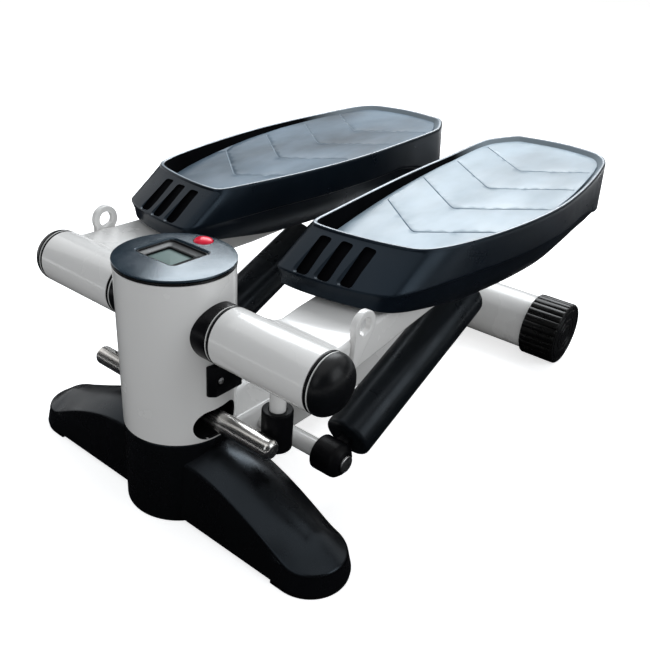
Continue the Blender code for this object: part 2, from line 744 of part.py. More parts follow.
def arm_box_mesh(name, sign, start, end, inset):
    """The box arm between two stations, or its hollow when inset by the wall."""
    half = BOX_WIDTH / 2 - inset
    low = BOX_TOP - BOX_HEIGHT + inset
    high = BOX_TOP - inset
    corners = ((-half, low), (half, low), (half, high), (-half, high))
    stations = [start] + [s for s, _ in BOX_LINE if start < s < end] + [end]
    bm = bmesh.new()
    rows = loft(bm, [[(sign * (box_middle(s) + dx), s, h) for dx, h in corners] for s in stations])
    bm.faces.new(rows[0])
    bm.faces.new(rows[-1])
    return mesh_from(name, bm)


def post_bottom():
    return SLEEVE_BOTTOM + SLEEVE_FLOOR + GAP


def plate_mesh(name, outline, x0, x1):
    """A plate between two values of x, with an outline of (y, z) points."""
    bm = bmesh.new()
    rows = loft(bm, [[(x, y, z) for y, z in outline] for x in (x0, x1)])
    bm.faces.new(rows[0])
    bm.faces.new(rows[1])
    return mesh_from(name, bm)


def band_eye_mesh(name, sign):
    """Flat plate on the arm's outer side: a ring for an exercise band, on a stem."""
    y, z = EYE_Y, EYE_Z - PIVOT_Z
    foot = z - EYE_STEM
    outline = arc((y, z), EYE_R, -15, 195, 12) + [(y - EYE_R / 2, foot), (y, foot)]
    return plate_mesh(name, outline, sign * EYE_ROOT_X, sign * (EYE_ROOT_X + EYE_PLATE))


def band_eye_hole_mesh(name, sign):
    hole = arc((EYE_Y, EYE_Z - PIVOT_Z), EYE_HOLE_R, 0, 360, 16)[:-1]
    return plate_mesh(name, hole, sign * (EYE_ROOT_X - BOX_WALL), sign * (EYE_ROOT_X + EYE_PLATE + BOX_WALL))


def ear_mesh(name, x, ear):
    """One of the two ears, rounded at the pin."""
    inner = ROD_EYE_WIDTH / 2 + 2 * GAP
    y, z = UPPER_PIN_Y, UPPER_PIN_Z - PIVOT_Z
    top = z + UPPER_EYE_R + 2 * EAR_T
    outline = arc((y, z), UPPER_EYE_R - EDGE, 180, 360, 8) + [(y + UPPER_EYE_R, top), (y - UPPER_EYE_R, top)]
    return plate_mesh(name + "_ear", outline, x + ear * inner, x + ear * (inner + EAR_T))


def arm_bushes(side, sign, pivot):
    """Nylon bushes pressed into both ends of the cross tube, with the flanges that show."""
    bore = AXLE_R + RUN_GAP
    plug = ARM_TUBE_R - ARM_TUBE_WALL - GAP
    for where, face, out in (("inner", ARM_TUBE_IN, -1), ("outer", ARM_TUBE_OUT, 1)):
        seat = face + out * GAP
        rim = seat + out * (BUSH_FLANGE - GAP)
        deep = face - out * BUSH_DEPTH
        profile = [(ARM_TUBE_R, rim), (ARM_TUBE_R, seat), (plug, seat), (plug, deep), (bore, deep),
            (bore, rim)]
        if out < 0:
            profile.reverse()
        turned("arm_bush_" + where + "_" + side, sided(profile, sign), "black_plastic", pivot, "X")


def push_sleeve(side, sign, pivot):
    """Nylon thimble on the push post, which bears on the rocker bar."""
    top = SLEEVE_TOP - PIVOT_Z
    low = SLEEVE_BOTTOM - PIVOT_Z
    floor = low + SLEEVE_FLOOR
    bore = POST_R + GAP
    turned("push_sleeve_" + side, [
        (bore, top), (SLEEVE_R - EDGE, top), (SLEEVE_R, top - EDGE), (SLEEVE_R, low + EDGE),
        (SLEEVE_R - EDGE, low), (0, low), (0, floor), (bore, floor)], "black_plastic", pivot,
        at=(sign * POST_X, BAR_GAP, 0), steps=STEPS)


# Rocker inside the column

def rocker(spin):
    """Bar through both slots of the column, on a hub that turns on an upright pin."""
    half = ROCKER_HALF
    ball = ROCKER_R - ROCKER_CHAMFER
    bar = turned("rocker_bar", [
        (0, half), (ball, half), (ROCKER_R, half - ROCKER_CHAMFER), (ROCKER_R, ROCKER_CHAMFER - half),
        (ball, -half), (0, -half)], "chrome", spin, "X", steps=STEPS)
    join(bar, "rocker_hub", rod_mesh("rocker_hub", HUB_R, -HUB_HEIGHT / 2, HUB_HEIGHT / 2))
    cut(bar, "rocker_bore", rod_mesh("rocker_bore", PIN_R + RUN_GAP, -HUB_HEIGHT, HUB_HEIGHT))


def rocker_support():
    """The upright pin, and the shelf across the column that holds its top."""
    shelf_top = BRACKET_Z + BRACKET_T
    low = COLUMN_BOTTOM + WELD_RING - CORE_PLUG / 2 + GAP
    turned("rocker_pin", [(0, shelf_top), (PIN_R, shelf_top), (PIN_R, low), (0, low)], "zinc", FRAME,
        steps=FEW_STEPS)
    turned("rocker_shelf", ring_profile(PIN_R + GAP, COLUMN_R - COLUMN_WALL - GAP, BRACKET_Z, shelf_top),
        "white_paint", FRAME)


# Dampers

def damper(side, sign, hinge, slide, pivot):
    """Oil damper: foot eye on the frame's spindle, rod eye under the arm. Local Z runs along it."""
    bore = SPINDLE_R + GAP
    eye = turned("damper_eye_" + side, sided([
        (bore, LOWER_EYE_OUT), (LOWER_EYE_R - LOWER_EYE_CONE, LOWER_EYE_OUT),
        (LOWER_EYE_R, LOWER_EYE_OUT - LOWER_EYE_CONE), (LOWER_EYE_R, LOWER_EYE_BEVEL - LOWER_EYE_IN),
        (LOWER_EYE_R - LOWER_EYE_BEVEL, -LOWER_EYE_IN), (bore, -LOWER_EYE_IN)], sign),
        "black_plastic", hinge, "X")
    stem_top = DAMPER_FROM + DAMPER_END - GAP
    join(eye, "damper_stem_" + side, rod_mesh(
        "damper_stem", STEM_R, (SPINDLE_R + LOWER_EYE_R) / 2, stem_top, steps=FEW_STEPS), hinge)
    edge = DAMPER_BEVEL
    turned("damper_tube_" + side, [
        (ROD_R + RUN_GAP, DAMPER_TO), (DAMPER_R - 2 * edge, DAMPER_TO),
        (DAMPER_R - edge / 2, DAMPER_TO - edge / 2),
        (DAMPER_R, DAMPER_TO - 2 * edge), (DAMPER_R, DAMPER_FROM + edge), (DAMPER_R - edge, DAMPER_FROM),
        (STEM_R + GAP, DAMPER_FROM), (STEM_R + GAP, DAMPER_FROM + DAMPER_END),
        (DAMPER_BORE_R, DAMPER_FROM + DAMPER_END), (DAMPER_BORE_R, DAMPER_TO - 2 * DAMPER_END),
        (ROD_R + RUN_GAP, DAMPER_TO - 2 * DAMPER_END)], "damper_paint", hinge)
    piston_r = DAMPER_BORE_R - RUN_GAP
    rod_top = UPPER_PIN_AT - (UPPER_EYE_BORE + UPPER_EYE_R) / 2
    rod = turned("piston_rod_" + side, [
        (0, rod_top), (ROD_R, rod_top), (ROD_R, PISTON_AT + PISTON_T), (piston_r, PISTON_AT + PISTON_T),
        (piston_r, PISTON_AT), (0, PISTON_AT)], "chrome", slide, steps=STEPS)
    width = ROD_EYE_WIDTH / 2
    at = (0, 0, UPPER_PIN_AT)
    join(rod, "rod_eye_" + side, rod_mesh("rod_eye", UPPER_EYE_R, -width, width, "X", at, STEPS), slide)
    cut(rod, "rod_eye_bore_" + side, rod_mesh("rod_eye_bore", UPPER_EYE_BORE, -2 * width, 2 * width, "X", at,
        STEPS), slide)
    span = width + 2 * GAP + EAR_T + GAP
    head = UPPER_PIN_R + UPPER_PIN_HEAD
    end = span + UPPER_PIN_HEAD
    turned("damper_pin_" + side, [
        (0, end), (head, end), (head, span), (UPPER_PIN_R, span), (UPPER_PIN_R, -span), (head, -span),
        (head, -end),
        (0, -end)], "zinc", pivot, "X", (sign * DAMPER_X, UPPER_PIN_Y, UPPER_PIN_Z - PIVOT_Z), FEW_STEPS)


def crossbar():
    """Cross tube through the beam, and the long spindle in it that carries both damper eyes."""
    at = (0, DAMPER_Y, DAMPER_Z)
    end = DAMPER_X - LOWER_EYE_IN - GAP
    turned("damper_crossbar", ring_profile(SPINDLE_R + GAP, CROSSBAR_R, -end, end), "white_paint", FRAME,
        "X", at)
    seat = DAMPER_X + LOWER_EYE_OUT + GAP
    tip = DAMPER_X + LOWER_EYE_OUT + SPINDLE_PROUD
    half = [(0, tip), (SPINDLE_HEAD_R, tip), (SPINDLE_HEAD_R, seat), (SPINDLE_R, seat)]
    turned("damper_spindle", half + [(r, -x) for r, x in reversed(half)], "zinc", FRAME, "X", at)


# Foot trays

def tray_outline(sign):
    """Plan of the rim as (x, s) points about the tray's middle line; inner side towards the column's plane.

    Each knot is a point and its two handles, in shares of the half width and the half length."""
    knots = (
        ((-0.592, -1.003), (-0.320, -1.020), (-0.656, -0.999)),
        ((-0.712, -0.933), (-0.688, -0.983), (-0.760, -0.773)),
        ((-0.973, 0.227), (-0.973, -0.253), (-0.973, 0.513)),
        ((-0.971, 0.773), (-1.003, 0.660), (-0.947, 0.833)),
        ((-0.663, 0.988), (-0.743, 0.978), (-0.423, 1.001)),
        ((0.089, 1.014), (-0.231, 1.024), (0.361, 0.996)),
        ((0.571, 0.959), (0.499, 0.982), (0.659, 0.932)),
        ((0.775, 0.801), (0.751, 0.854), (0.863, 0.654)),
        ((1.011, 0.047), (1.005, 0.313), (1.008, -0.253)),
        ((0.696, -0.813), (0.848, -0.653), (0.632, -0.880)),
        ((0.464, -0.937), (0.576, -0.920), (0.256, -0.973)),
    )
    spans = len(knots)
    points = []
    for i in range(spans):
        (start, _, leave), (end, arrive, _) = knots[i], knots[(i + 1) % spans]
        curve = interpolate_bezier(*[Vector((x, y, 0)) for x, y in (start, leave, arrive, end)],
            SPAN_STEPS + 1)
        points += [(sign * point.x * TRAY_HALF_WIDTH,
            TRAY_MID_S + point.y * TRAY_HALF_LENGTH) for point in curve[:-1]]
    return points


def rim_h(s):
    return RIM_MID_H + RIM_RISE * ((s - TRAY_MID_S) / TRAY_HALF_LENGTH) ** 2


def mat_h(s):
    """Top of the mat: deep at the toe, almost level with the rim at the heel."""
    along = (s - RIM_TOE_S) / (RIM_HEEL_S - RIM_TOE_S)
    return MAT_TOE_H + (MAT_HEEL_H - MAT_TOE_H) * (1 - (1 - min(max(along, 0), 1)) ** 1.6)


def mat_under(s):
    return mat_h(s) - MAT_T


def tray_floor(s):
    """Floor of the recess that the mat lies in."""
    return mat_under(s) - GAP


def tray_ceiling(s):
    """Underside of that floor."""
    return tray_floor(s) - MAT_T


def toe_weight(s):
    """1 at the toe's end, easing to 0 along the sides."""
    return 1 - smooth_step(s, RIM_TOE_S, RIM_TOE_S + TOE_SHARE * TRAY_HALF_LENGTH)


def band_depth(s):
    heel = smooth_step(s, TRAY_MID_S + HEEL_FROM_SHARE * TRAY_HALF_LENGTH,
        TRAY_MID_S + HEEL_TO_SHARE * TRAY_HALF_LENGTH)
    return BAND_DEPTH - TOE_BAND_TRIM * toe_weight(s) + HEEL_BAND_EXTRA * heel


def belly_depth(s):
    """Depth of the tray's lowest edge: a shallow lip below the toe, deeper along the sides."""
    return BELLY_DEPTH + (LIP_DEPTH - BELLY_DEPTH) * toe_weight(s)


def inset_point(point, inset):
    """Draws the outline in by scaling each way about the tray's middle, which never folds over."""
    x = point[0] * (TRAY_HALF_WIDTH - inset) / TRAY_HALF_WIDTH
    s = TRAY_MID_S + (point[1] - TRAY_MID_S) * (TRAY_HALF_LENGTH - inset) / TRAY_HALF_LENGTH
    return x, s


def tray_ring(outline, inset, height, reach=0.0, toe_inset=None):
    """One ring of the tray; reach pushes its toe forward, where it can have an inset of its own."""
    ring = []
    for point in outline:
        toe = toe_weight(point[1])
        drawn = inset if toe_inset is None else inset + (toe_inset - inset) * toe
        x, s = inset_point(point, drawn)
        ring.append((x, s - reach * toe, height(point[1])))
    return ring


def cap_rings(outline, inset, height):
    """Rings that close a surface over the tray, following its height along the length."""
    rings = []
    for share in (1.0, 0.5):
        ring = []
        for point in outline:
            x, s = inset_point(point, inset)
            x, s = x * share, TRAY_MID_S + (s - TRAY_MID_S) * share
            ring.append((x, s, height(s)))
        rings.append(ring)
    return rings


def close_fan(bm, row, height):
    middle = bm.verts.new((0, TRAY_MID_S, height(TRAY_MID_S)))
    for i, vert in enumerate(row):
        bm.faces.new((vert, row[(i + 1) % len(row)], middle))


def tray(side, sign, deck):
    """Moulded foot tray: rim, sloped toe, drawn-in belly, hollow underside with two seats on the arm."""
    name = "tray_" + side
    outline = tray_outline(sign)
    rings = cap_rings(outline, MAT_INSET - GAP, tray_floor)[::-1]
    rings += [
        tray_ring(outline, RIM_EDGE, lambda s: rim_h(s) - EDGE),
        tray_ring(outline, RIM_EDGE - EDGE, rim_h),
        tray_ring(outline, EDGE, rim_h),
        tray_ring(outline, 0, lambda s: rim_h(s) - EDGE),
        tray_ring(outline, -BAND_FLARE, lambda s: rim_h(s) - band_depth(s), TOE_REACH),
        tray_ring(outline, EDGE, lambda s: rim_h(s) - band_depth(s) - EDGE, TOE_REACH, -EDGE),
        tray_ring(outline, BELLY_INSET / 3, lambda s: rim_h(s) - (band_depth(s) + belly_depth(s)) / 2,
            TOE_REACH, 0),
        tray_ring(outline, BELLY_INSET, lambda s: rim_h(s) - belly_depth(s), TOE_REACH, 0),
        tray_ring(outline, BELLY_INSET + TRAY_WALL, lambda s: rim_h(s) - belly_depth(s), TOE_REACH,
            TRAY_WALL),
    ]
    rings += cap_rings(outline, BELLY_INSET + TRAY_WALL, tray_ceiling)
    bm = bmesh.new()
    rows = loft(bm, rings)
    close_fan(bm, rows[0], tray_floor)
    close_fan(bm, rows[-1], tray_ceiling)
    obj = add_object(name, mesh_from(name, bm), "tray_plastic", deck)
    obj.location = (sign * TRAY_X, 0, 0)
    seat = BOX_TOP + GAP
    for i, station in enumerate(RIB_STATIONS):
        middle = sign * (box_middle(station) - TRAY_X)
        join(obj, name + "_seat_%d" % i, box_mesh(
            name + "_seat", (middle - RIB_HALF, station - RIB_T / 2, seat),
            (middle + RIB_HALF, station + RIB_T / 2, mat_h(station) - 1.5 * MAT_T)), obj)
        cut(obj, name + "_bolt_hole_%d" % i, rod_mesh(
            name + "_bolt_hole", TRAY_BOLT_R + GAP, seat - EDGE, seat + TRAY_BOLT_GRIP + GAP, "Z",
            (middle, station, 0), FEW_STEPS), obj)
    toe_slots(obj, name, sign, outline)
    return obj


def toe_edge_s(outline, x):
    """Where the rim's toe edge crosses x; the outline's last span is that edge."""
    toe = outline[-SPAN_STEPS - 1:] + outline[:1]
    for (x0, s0), (x1, s1) in zip(toe, toe[1:]):
        if min(x0, x1) <= x <= max(x0, x1):
            return s0 + (s1 - s0) * (x - x0) / (x1 - x0)
    return RIM_TOE_S


def toe_slots(obj, name, sign, outline):
    """Three upright slots let into the sloped toe, nearer its inner end."""
    band = BAND_DEPTH - TOE_BAND_TRIM
    slope = math.atan2(TOE_REACH, band)
    width, length = TOE_SLOT_SIZE
    half = Vector((width / 2, length / 2, TOE_SLOT_DEPTH))
    for k in (-1, 0, 1):
        x = k * TOE_SLOT_PITCH - sign * TOE_SLOT_INWARD
        blade = cutter(name + "_slot_%d" % (k + 1), box_mesh(name + "_slot", -half, half), obj)
        s = toe_edge_s(outline, x) - TOE_SLOT_SHARE * TOE_REACH
        blade.location = (x, s, rim_h(RIM_TOE_S) - TOE_SLOT_SHARE * band)
        blade.rotation_euler = (math.pi / 2 - slope, 0, 0)
        boolean(obj, blade, "DIFFERENCE")


def mat(side, sign, deck):
    """Soft mat let into the tray."""
    name = "tray_mat_" + side
    outline = tray_outline(sign)
    rings = cap_rings(outline, MAT_INSET, mat_h)[::-1] + cap_rings(outline, MAT_INSET, mat_under)
    bm = bmesh.new()
    rows = loft(bm, rings)
    close_fan(bm, rows[0], mat_h)
    close_fan(bm, rows[-1], mat_under)
    obj = add_object(name, mesh_from(name, bm), "mat_rubber", deck)
    obj.location = (sign * TRAY_X, 0, 0)
    return obj


def tray_bolts(side, sign, deck):
    """Bolts up through the box arm into the tray's two seats."""
    head = BOX_TOP - BOX_HEIGHT - GAP
    top = BOX_TOP + TRAY_BOLT_GRIP
    for place, station in zip(("front", "rear"), RIB_STATIONS):
        turned("tray_bolt_" + place + "_" + side, [
            (0, top), (TRAY_BOLT_R, top), (TRAY_BOLT_R, head), (TRAY_BOLT_HEAD_R, head),
            (TRAY_BOLT_HEAD_R, head - TRAY_BOLT_HEAD_T), (0, head - TRAY_BOLT_HEAD_T)],
            "zinc", deck, at=(sign * box_middle(station), station, 0), steps=FEW_STEPS)


# Counter on top of the column

def counter():
    under = COVER_TOP - COVER_T
    skirt_in = SKIRT_R - SKIRT_WALL
    rim = COVER_TOP - COVER_DOME
    crown = [(COVER_R * math.sin(a), rim + COVER_DOME * math.cos(a)) for a in quarter(3)]
    cover = turned("counter_cover", crown[:-1] + [
        (COVER_R, rim - EDGE / 2), (COVER_R - EDGE, under), (SKIRT_R, under), (SKIRT_R, SKIRT_BOTTOM),
        (skirt_in, SKIRT_BOTTOM), (skirt_in, under - EDGE), (0, under - EDGE)], "cover_plastic", FRAME,
        steps=FINE_STEPS)
    wx, wy = WINDOW_AT
    cut(cover, "window_hole", box_mesh(
        "window_hole", (wx - WINDOW[0] / 2, wy - WINDOW[1] / 2, under - COVER_T),
        (wx + WINDOW[0] / 2, wy + WINDOW[1] / 2, COVER_TOP + COVER_T)))
    bx, by = BUTTON_AT
    cut(cover, "button_well", rod_mesh(
        "button_well", BUTTON_R + GAP, button_low() - BUTTON_TRAVEL - GAP, COVER_TOP + COVER_T, "Z",
        (bx, by, 0)))
    for i, (px, py) in enumerate(board_posts()):
        join(cover, "board_post_%d" % i, rod_mesh(
            "board_post", BOARD_POST_R, BOARD_TOP + GAP, under, "Z", (px, py, 0), FEW_STEPS))
    turned("cover_ring", ring_profile(SKIRT_R + GAP, COVER_R - GAP, COLUMN_TOP + GAP,
        COLUMN_TOP + GAP + RING_T),
           "rubber", FRAME, steps=FINE_STEPS)
    display()
    electronics()


def board_posts():
    """Places of the four posts, a quarter turn apart, on which the circuit board hangs."""
    return arc((0, 0), BOARD_R - 1.5 * BOARD_POST_R, 45, 315, 3)


def button_low():
    """Underside of the button's barrel, below the lugs that keep it in its well."""
    return COVER_TOP - COVER_T - EDGE - GAP - BUTTON_LUG


def display():
    """Stepped frame in the window, and the display panel below it."""
    wx, wy = WINDOW_AT
    lx, ly = LCD_AT
    half = [size / 2 - GAP for size in WINDOW]
    top = COVER_TOP - COVER_DOME - GAP
    low = top - BEZEL_DEPTH
    bezel = add_object("display_bezel", box_mesh(
        "display_bezel", (wx - half[0], wy - half[1], low), (wx + half[0], wy + half[1], top)),
        "black_plastic", FRAME)
    step = [size / 2 - BEZEL_EDGE for size in WINDOW]
    cut(bezel, "bezel_step", box_mesh(
        "bezel_step", (wx - step[0], wy - step[1], low + BEZEL_DEPTH / 2),
        (wx + step[0], wy + step[1], top + BEZEL_STEP)))
    view = [size / 2 - LCD_MARGIN for size in LCD_SIZE]
    cut(bezel, "bezel_view", box_mesh(
        "bezel_view", (lx - view[0], ly - view[1], low - BEZEL_STEP),
        (lx + view[0], ly + view[1], top + BEZEL_STEP)))
    lcd_top = low - GAP
    add_object("lcd_panel", box_mesh(
        "lcd_panel", (lx - LCD_SIZE[0] / 2, ly - LCD_SIZE[1] / 2, BOARD_TOP + GAP),
        (lx + LCD_SIZE[0] / 2, ly + LCD_SIZE[1] / 2, lcd_top)), "lcd_glass", FRAME)


def electronics():
    turned("circuit_board", [
        (0, BOARD_TOP), (BOARD_R, BOARD_TOP), (BOARD_R, BOARD_TOP - BOARD_T), (0, BOARD_TOP - BOARD_T)],
        "circuit_board", FRAME, steps=FINE_STEPS)
    cell_top = BOARD_TOP - BOARD_T - GAP
    turned("button_cell", [(0, cell_top), (CELL_R, cell_top), (CELL_R, cell_top - CELL_T),
        (0, cell_top - CELL_T)],
           "zinc", FRAME, at=(CELL_X, 0, 0), steps=STEPS)


def reset_button(press):
    """Domed push button; two lugs keep it in its well and its stem reaches the board's switch."""
    rest = press.location.z
    rim = COVER_TOP - COVER_DOME - rest
    skin = [(BUTTON_R * math.sin(a), rim + BUTTON_PROUD * math.cos(a)) for a in quarter(4)]
    low = button_low() - rest
    stem = BOARD_TOP + BUTTON_TRAVEL + GAP - rest
    button = turned("reset_button", skin + [
        (BUTTON_R, low), (BUTTON_STEM_R, low), (BUTTON_STEM_R, stem), (0, stem)], "red_plastic", press)
    wide = BUTTON_R + GAP + BUTTON_LUG
    join(button, "button_lugs", box_mesh(
        "button_lugs", (-wide, 2 * BUTTON_LUG - BUTTON_R, low), (wide, -BUTTON_LUG, low + BUTTON_LUG)))


# Sensor on the column's side

def lead_z():
    return (HOUSING_Z[0] + HOUSING_Z[1]) / 2


def sensor():
    y0, y1 = HOUSING_Y
    z0, z1 = HOUSING_Z
    root = COLUMN_R / 2
    outline = [(root, y0 - HOUSING_CHAMFER), (HOUSING_X - HOUSING_CHAMFER, y0 - HOUSING_CHAMFER),
               (HOUSING_X, y0), (HOUSING_X, y1), (root, y1)]
    housing = add_object("sensor_housing", prism_mesh("sensor_housing", outline, z0, z1), "black_plastic",
        FRAME)
    cut(housing, "housing_back", rod_mesh("housing_back", COLUMN_R + GAP, z0 - root, z1 + root,
        steps=FINE_STEPS))
    sy, sz = SENSOR_SCREW_AT
    head_x = HOUSING_X + GAP
    cut(housing, "housing_screw_hole", rod_mesh(
        "housing_screw_hole", SENSOR_SCREW_R + GAP, root, 2 * COLUMN_R, "X", (0, sy, sz), FEW_STEPS))
    cut(housing, "housing_lead_hole", rod_mesh(
        "housing_lead_hole", LEAD_R + GAP, root, COLUMN_R + COLUMN_WALL, "X", (0, LEAD_Y, lead_z()),
        FEW_STEPS))
    tip = COLUMN_R - 2 * COLUMN_WALL
    turned("sensor_screw", [
        (0, head_x + EDGE), (SENSOR_SCREW_HEAD_R - EDGE, head_x + EDGE),
        (SENSOR_SCREW_HEAD_R, head_x + EDGE / 2),
        (SENSOR_SCREW_HEAD_R, head_x), (SENSOR_SCREW_R, head_x), (SENSOR_SCREW_R, tip), (0, tip)],
        "zinc", FRAME, "X", (0, sy, sz), FEW_STEPS)


def sensor_lead():
    """Two-core lead from the circuit board down inside the column to the sensor."""
    turn = COLUMN_R - COLUMN_WALL - 4 * LEAD_R
    start_z = BOARD_TOP - BOARD_T - GAP
    route = [
        (LEAD_X, -LEAD_Y, start_z), (LEAD_X, -LEAD_Y, start_z - 5 * LEAD_R),
        (LEAD_X, -LEAD_BOW, PIVOT_Z + 1.5 * AXLE_R), (LEAD_X, -LEAD_BOW, PIVOT_Z),
        (LEAD_X, -LEAD_BOW, PIVOT_Z - 1.5 * AXLE_R),
        (LEAD_BOW, -LEAD_Y / 2, lead_z() + 3 * LEAD_R), (turn - 3 * LEAD_R, LEAD_Y, lead_z()),
        (turn, LEAD_Y, lead_z()),
        (COLUMN_R + COLUMN_WALL - GAP, LEAD_Y, lead_z())]
    curve = bpy.data.curves.new("sensor_lead", "CURVE")
    curve.dimensions = "3D"
    spline = curve.splines.new("POLY")
    points = smooth_route([Vector(p) for p in route], 3)
    spline.points.add(len(points) - 1)
    for point, place in zip(spline.points, points):
        point.co = (*place, 1)
    curve.bevel_depth = LEAD_R
    curve.bevel_resolution = 1
    curve.use_fill_caps = True
    add_object("sensor_lead", curve, "rubber", FRAME)


def smooth_route(knots, steps):
    """Catmull-Rom line through the knots."""
    padded = [2 * knots[0] - knots[1]] + knots + [2 * knots[-1] - knots[-2]]
    points = []
    for a, b, c, d in zip(padded, padded[1:], padded[2:], padded[3:]):
        for i in range(steps):
            t = i / steps
            points.append(0.5 * (2 * b + (c - a) * t + (2 * a - 5 * b + 4 * c - d) * t * t
                                 + (3 * b - a - 3 * c + d) * t ** 3))
    return points + [knots[-1]]


def build_side(side, sign):
    pivot = new_empty("arm_pivot_" + side, (0, 0, PIVOT_Z), FRAME)
    deck = new_empty("arm_deck_" + side, (0, 0, 0), pivot, (ARM_TILT, 0, 0))
    hinge = new_empty("damper_hinge_" + side, (sign * DAMPER_X, DAMPER_Y, DAMPER_Z), FRAME,
                      (DAMPER_ANGLE - math.pi / 2, 0, 0))
    slide = new_empty("damper_slide_" + side, (0, 0, 0), hinge)
    arm(side, sign, pivot, deck)
    arm_bushes(side, sign, pivot)
    push_sleeve(side, sign, pivot)
    damper(side, sign, hinge, slide, pivot)
    tray(side, sign, deck)
    mat(side, sign, deck)
    tray_bolts(side, sign, deck)
    front_pad(side, sign)


def build():
    column()
    beam()
    rear_foot()
    front_foot()
    foot_bolt()
    crossbar()
    axle_parts()
    rocker(new_empty("rocker_pivot", (0, 0, ROCKER_Z), FRAME))
    rocker_support()
    counter()
    reset_button(new_empty("button_press", (*BUTTON_AT, COVER_TOP), FRAME))
    sensor()
    sensor_lead()
    for side, sign in SIDES:
        build_side(side, sign)


clear_scene()
PARTS = new_collection("mini_stepper")
CUTTERS = new_collection("cutters")
FRAME = new_empty("frame", (0, COLUMN_Y, 0))
build()
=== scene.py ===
from functools import partial
from math import atan2, cos, exp, hypot, pi, radians, sin, sqrt

import bmesh
import bpy
from mathutils import Matrix, Vector
from mathutils.geometry import delaunay_2d_cdt, interpolate_bezier


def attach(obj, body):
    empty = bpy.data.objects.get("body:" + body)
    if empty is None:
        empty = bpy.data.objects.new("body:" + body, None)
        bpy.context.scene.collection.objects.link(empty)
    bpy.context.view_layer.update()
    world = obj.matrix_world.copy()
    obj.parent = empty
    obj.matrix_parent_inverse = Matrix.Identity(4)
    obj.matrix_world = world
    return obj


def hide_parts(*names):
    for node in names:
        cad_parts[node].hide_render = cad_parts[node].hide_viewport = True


MM = 0.001
SIDES = (("left", 1), ("right", -1))
X = Vector((1, 0, 0))
Z = Vector((0, 0, 1))
STEPS, ROUND_STEPS = 96, 5
SHARP = 38
SAME_POINT = 0.002 * MM

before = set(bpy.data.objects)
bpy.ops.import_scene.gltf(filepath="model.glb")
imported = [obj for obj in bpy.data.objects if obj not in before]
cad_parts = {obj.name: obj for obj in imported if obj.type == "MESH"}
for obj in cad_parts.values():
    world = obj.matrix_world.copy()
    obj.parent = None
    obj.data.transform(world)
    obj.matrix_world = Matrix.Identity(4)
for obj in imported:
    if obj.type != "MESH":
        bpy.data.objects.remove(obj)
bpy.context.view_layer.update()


def mm(*values):
    """Millimetres in metres."""
    return tuple(value * MM for value in values)


# Sizes that the looks share with the model
COLUMN_R, COLUMN_WALL, COLUMN_TOP, COLUMN_BOTTOM = mm(38, 2, 175.1, 63.1)
CORE_R, CORE_BOTTOM = mm(34, 14)
SLOT_HALF, SLOT_R, ROCKER_Z = mm(18.5, 10.6, 75.1)
BEAM_HALF, REAR_Y, REAR_Z, REAR_R, REAR_HALF = mm(20, 379, 30.2, 26.7, 118)
CAP_R, CAP_INNER_X, CAP_OUTER_X, CAP_RIB_DEPTH = mm(30.2, 90.1, 124.5, 1.3)
CAP_RIBS = 26
BOSS_R, FOOT_HALF, FOOT_DEPTH, FOOT_FLARE, FOOT_CLEAR = mm(38.9, 143.5, 48, 3, 4)
TIP_CREASE_Z, ROOT_CREASE_Z, CREASE_BLEND, CROWN = mm(17, 48, 5, 9)
TIP_FILL, TIP_SPREAD, PAD_INNER_X = mm(4, 18, 110)
CREASE_POWER = 1.7
FOOT_TIP = FOOT_HALF - FOOT_DEPTH / 2
PIVOT_Z, AXLE_R, TUBE_R, TUBE_IN, TUBE_OUT = mm(141.2, 10, 19, 48.2, 120.4)
TILT, DAMPER_ANGLE = radians(2.3), radians(24.1)
DAMPER_AXIS = Vector((0, cos(DAMPER_ANGLE), sin(DAMPER_ANGLE)))
BOX_WIDTH, BOX_TOP, BOX_HEIGHT, BOX_END = mm(49, 13.8, 25, 306)
BOX_LINE = ((0, 95.2), (19, 94.8), (37, 92.2), (54, 90.6), (71, 89.3), (97, 86.9), (132, 84.2))
FLANGE, WASHER_T, GAP, DOME_BULGE = mm(1.7, 0.7, 0.3, 12.5)
EYE_Y, EYE_Z, EYE_R, EYE_HOLE_R = mm(35.1, 162.5, 10, 5.5)
ROCKER_R, ROCKER_HALF, ROCKER_CHAMFER = mm(7, 85.8, 2.4)
POST_X, POST_R, POST_Y = mm(72.5, 5.4, 17.6)
SLEEVE_R, SLEEVE_TOP, SLEEVE_BOTTOM = mm(10.3, 92.5, 63.5)
DAMPER_X, DAMPER_Y, DAMPER_Z = mm(84.7, 63.3, 35.9)
DAMPER_R, DAMPER_FROM, DAMPER_TO, PIN_AT, ROD_R = mm(18, 17.6, 181, 222.06, 5)
LOWER_EYE_R, LOWER_EYE_IN, LOWER_EYE_OUT, LOWER_EYE_CONE = mm(13, 10.6, 11.7, 4.2)
SPINDLE_R, SPINDLE_PROUD, SPINDLE_HEAD_R, CROSSBAR_R = mm(5.5, 2, 6.4, 7)
TRAY_X, TRAY_MID, TRAY_HALF_LENGTH, TRAY_HALF_WIDTH = mm(84.2, 228, 150, 62.5)
RIM_MID_H, RIM_RISE, RIM_TOE, RIM_HEEL = mm(47, 3, 78, 378)
BAND_DEPTH, BELLY_DEPTH, LIP_DEPTH, BELLY_INSET = mm(22, 47.5, 32, 12)
TOE_REACH, TOE_TRIM, TRAY_WALL = mm(30, 1, 3.2)
MAT_T, MAT_INSET, MAT_TOE_H, MAT_HEEL_H = mm(3, 6.2, 34, 46.2)
TOE_SLOT, SLOT_SHARE = mm(8.8, 30.5), 0.545
SLOT_PITCH, SLOT_DEPTH, SLOT_OFFSET = mm(15.6, 2.4, 8)
GROOVE_AT, GROOVE_SLOPE = mm(138, 190, 242, 294), 0.8
GROOVE_WIDEN = 1.28  # along s, as the chevrons cross it aslant
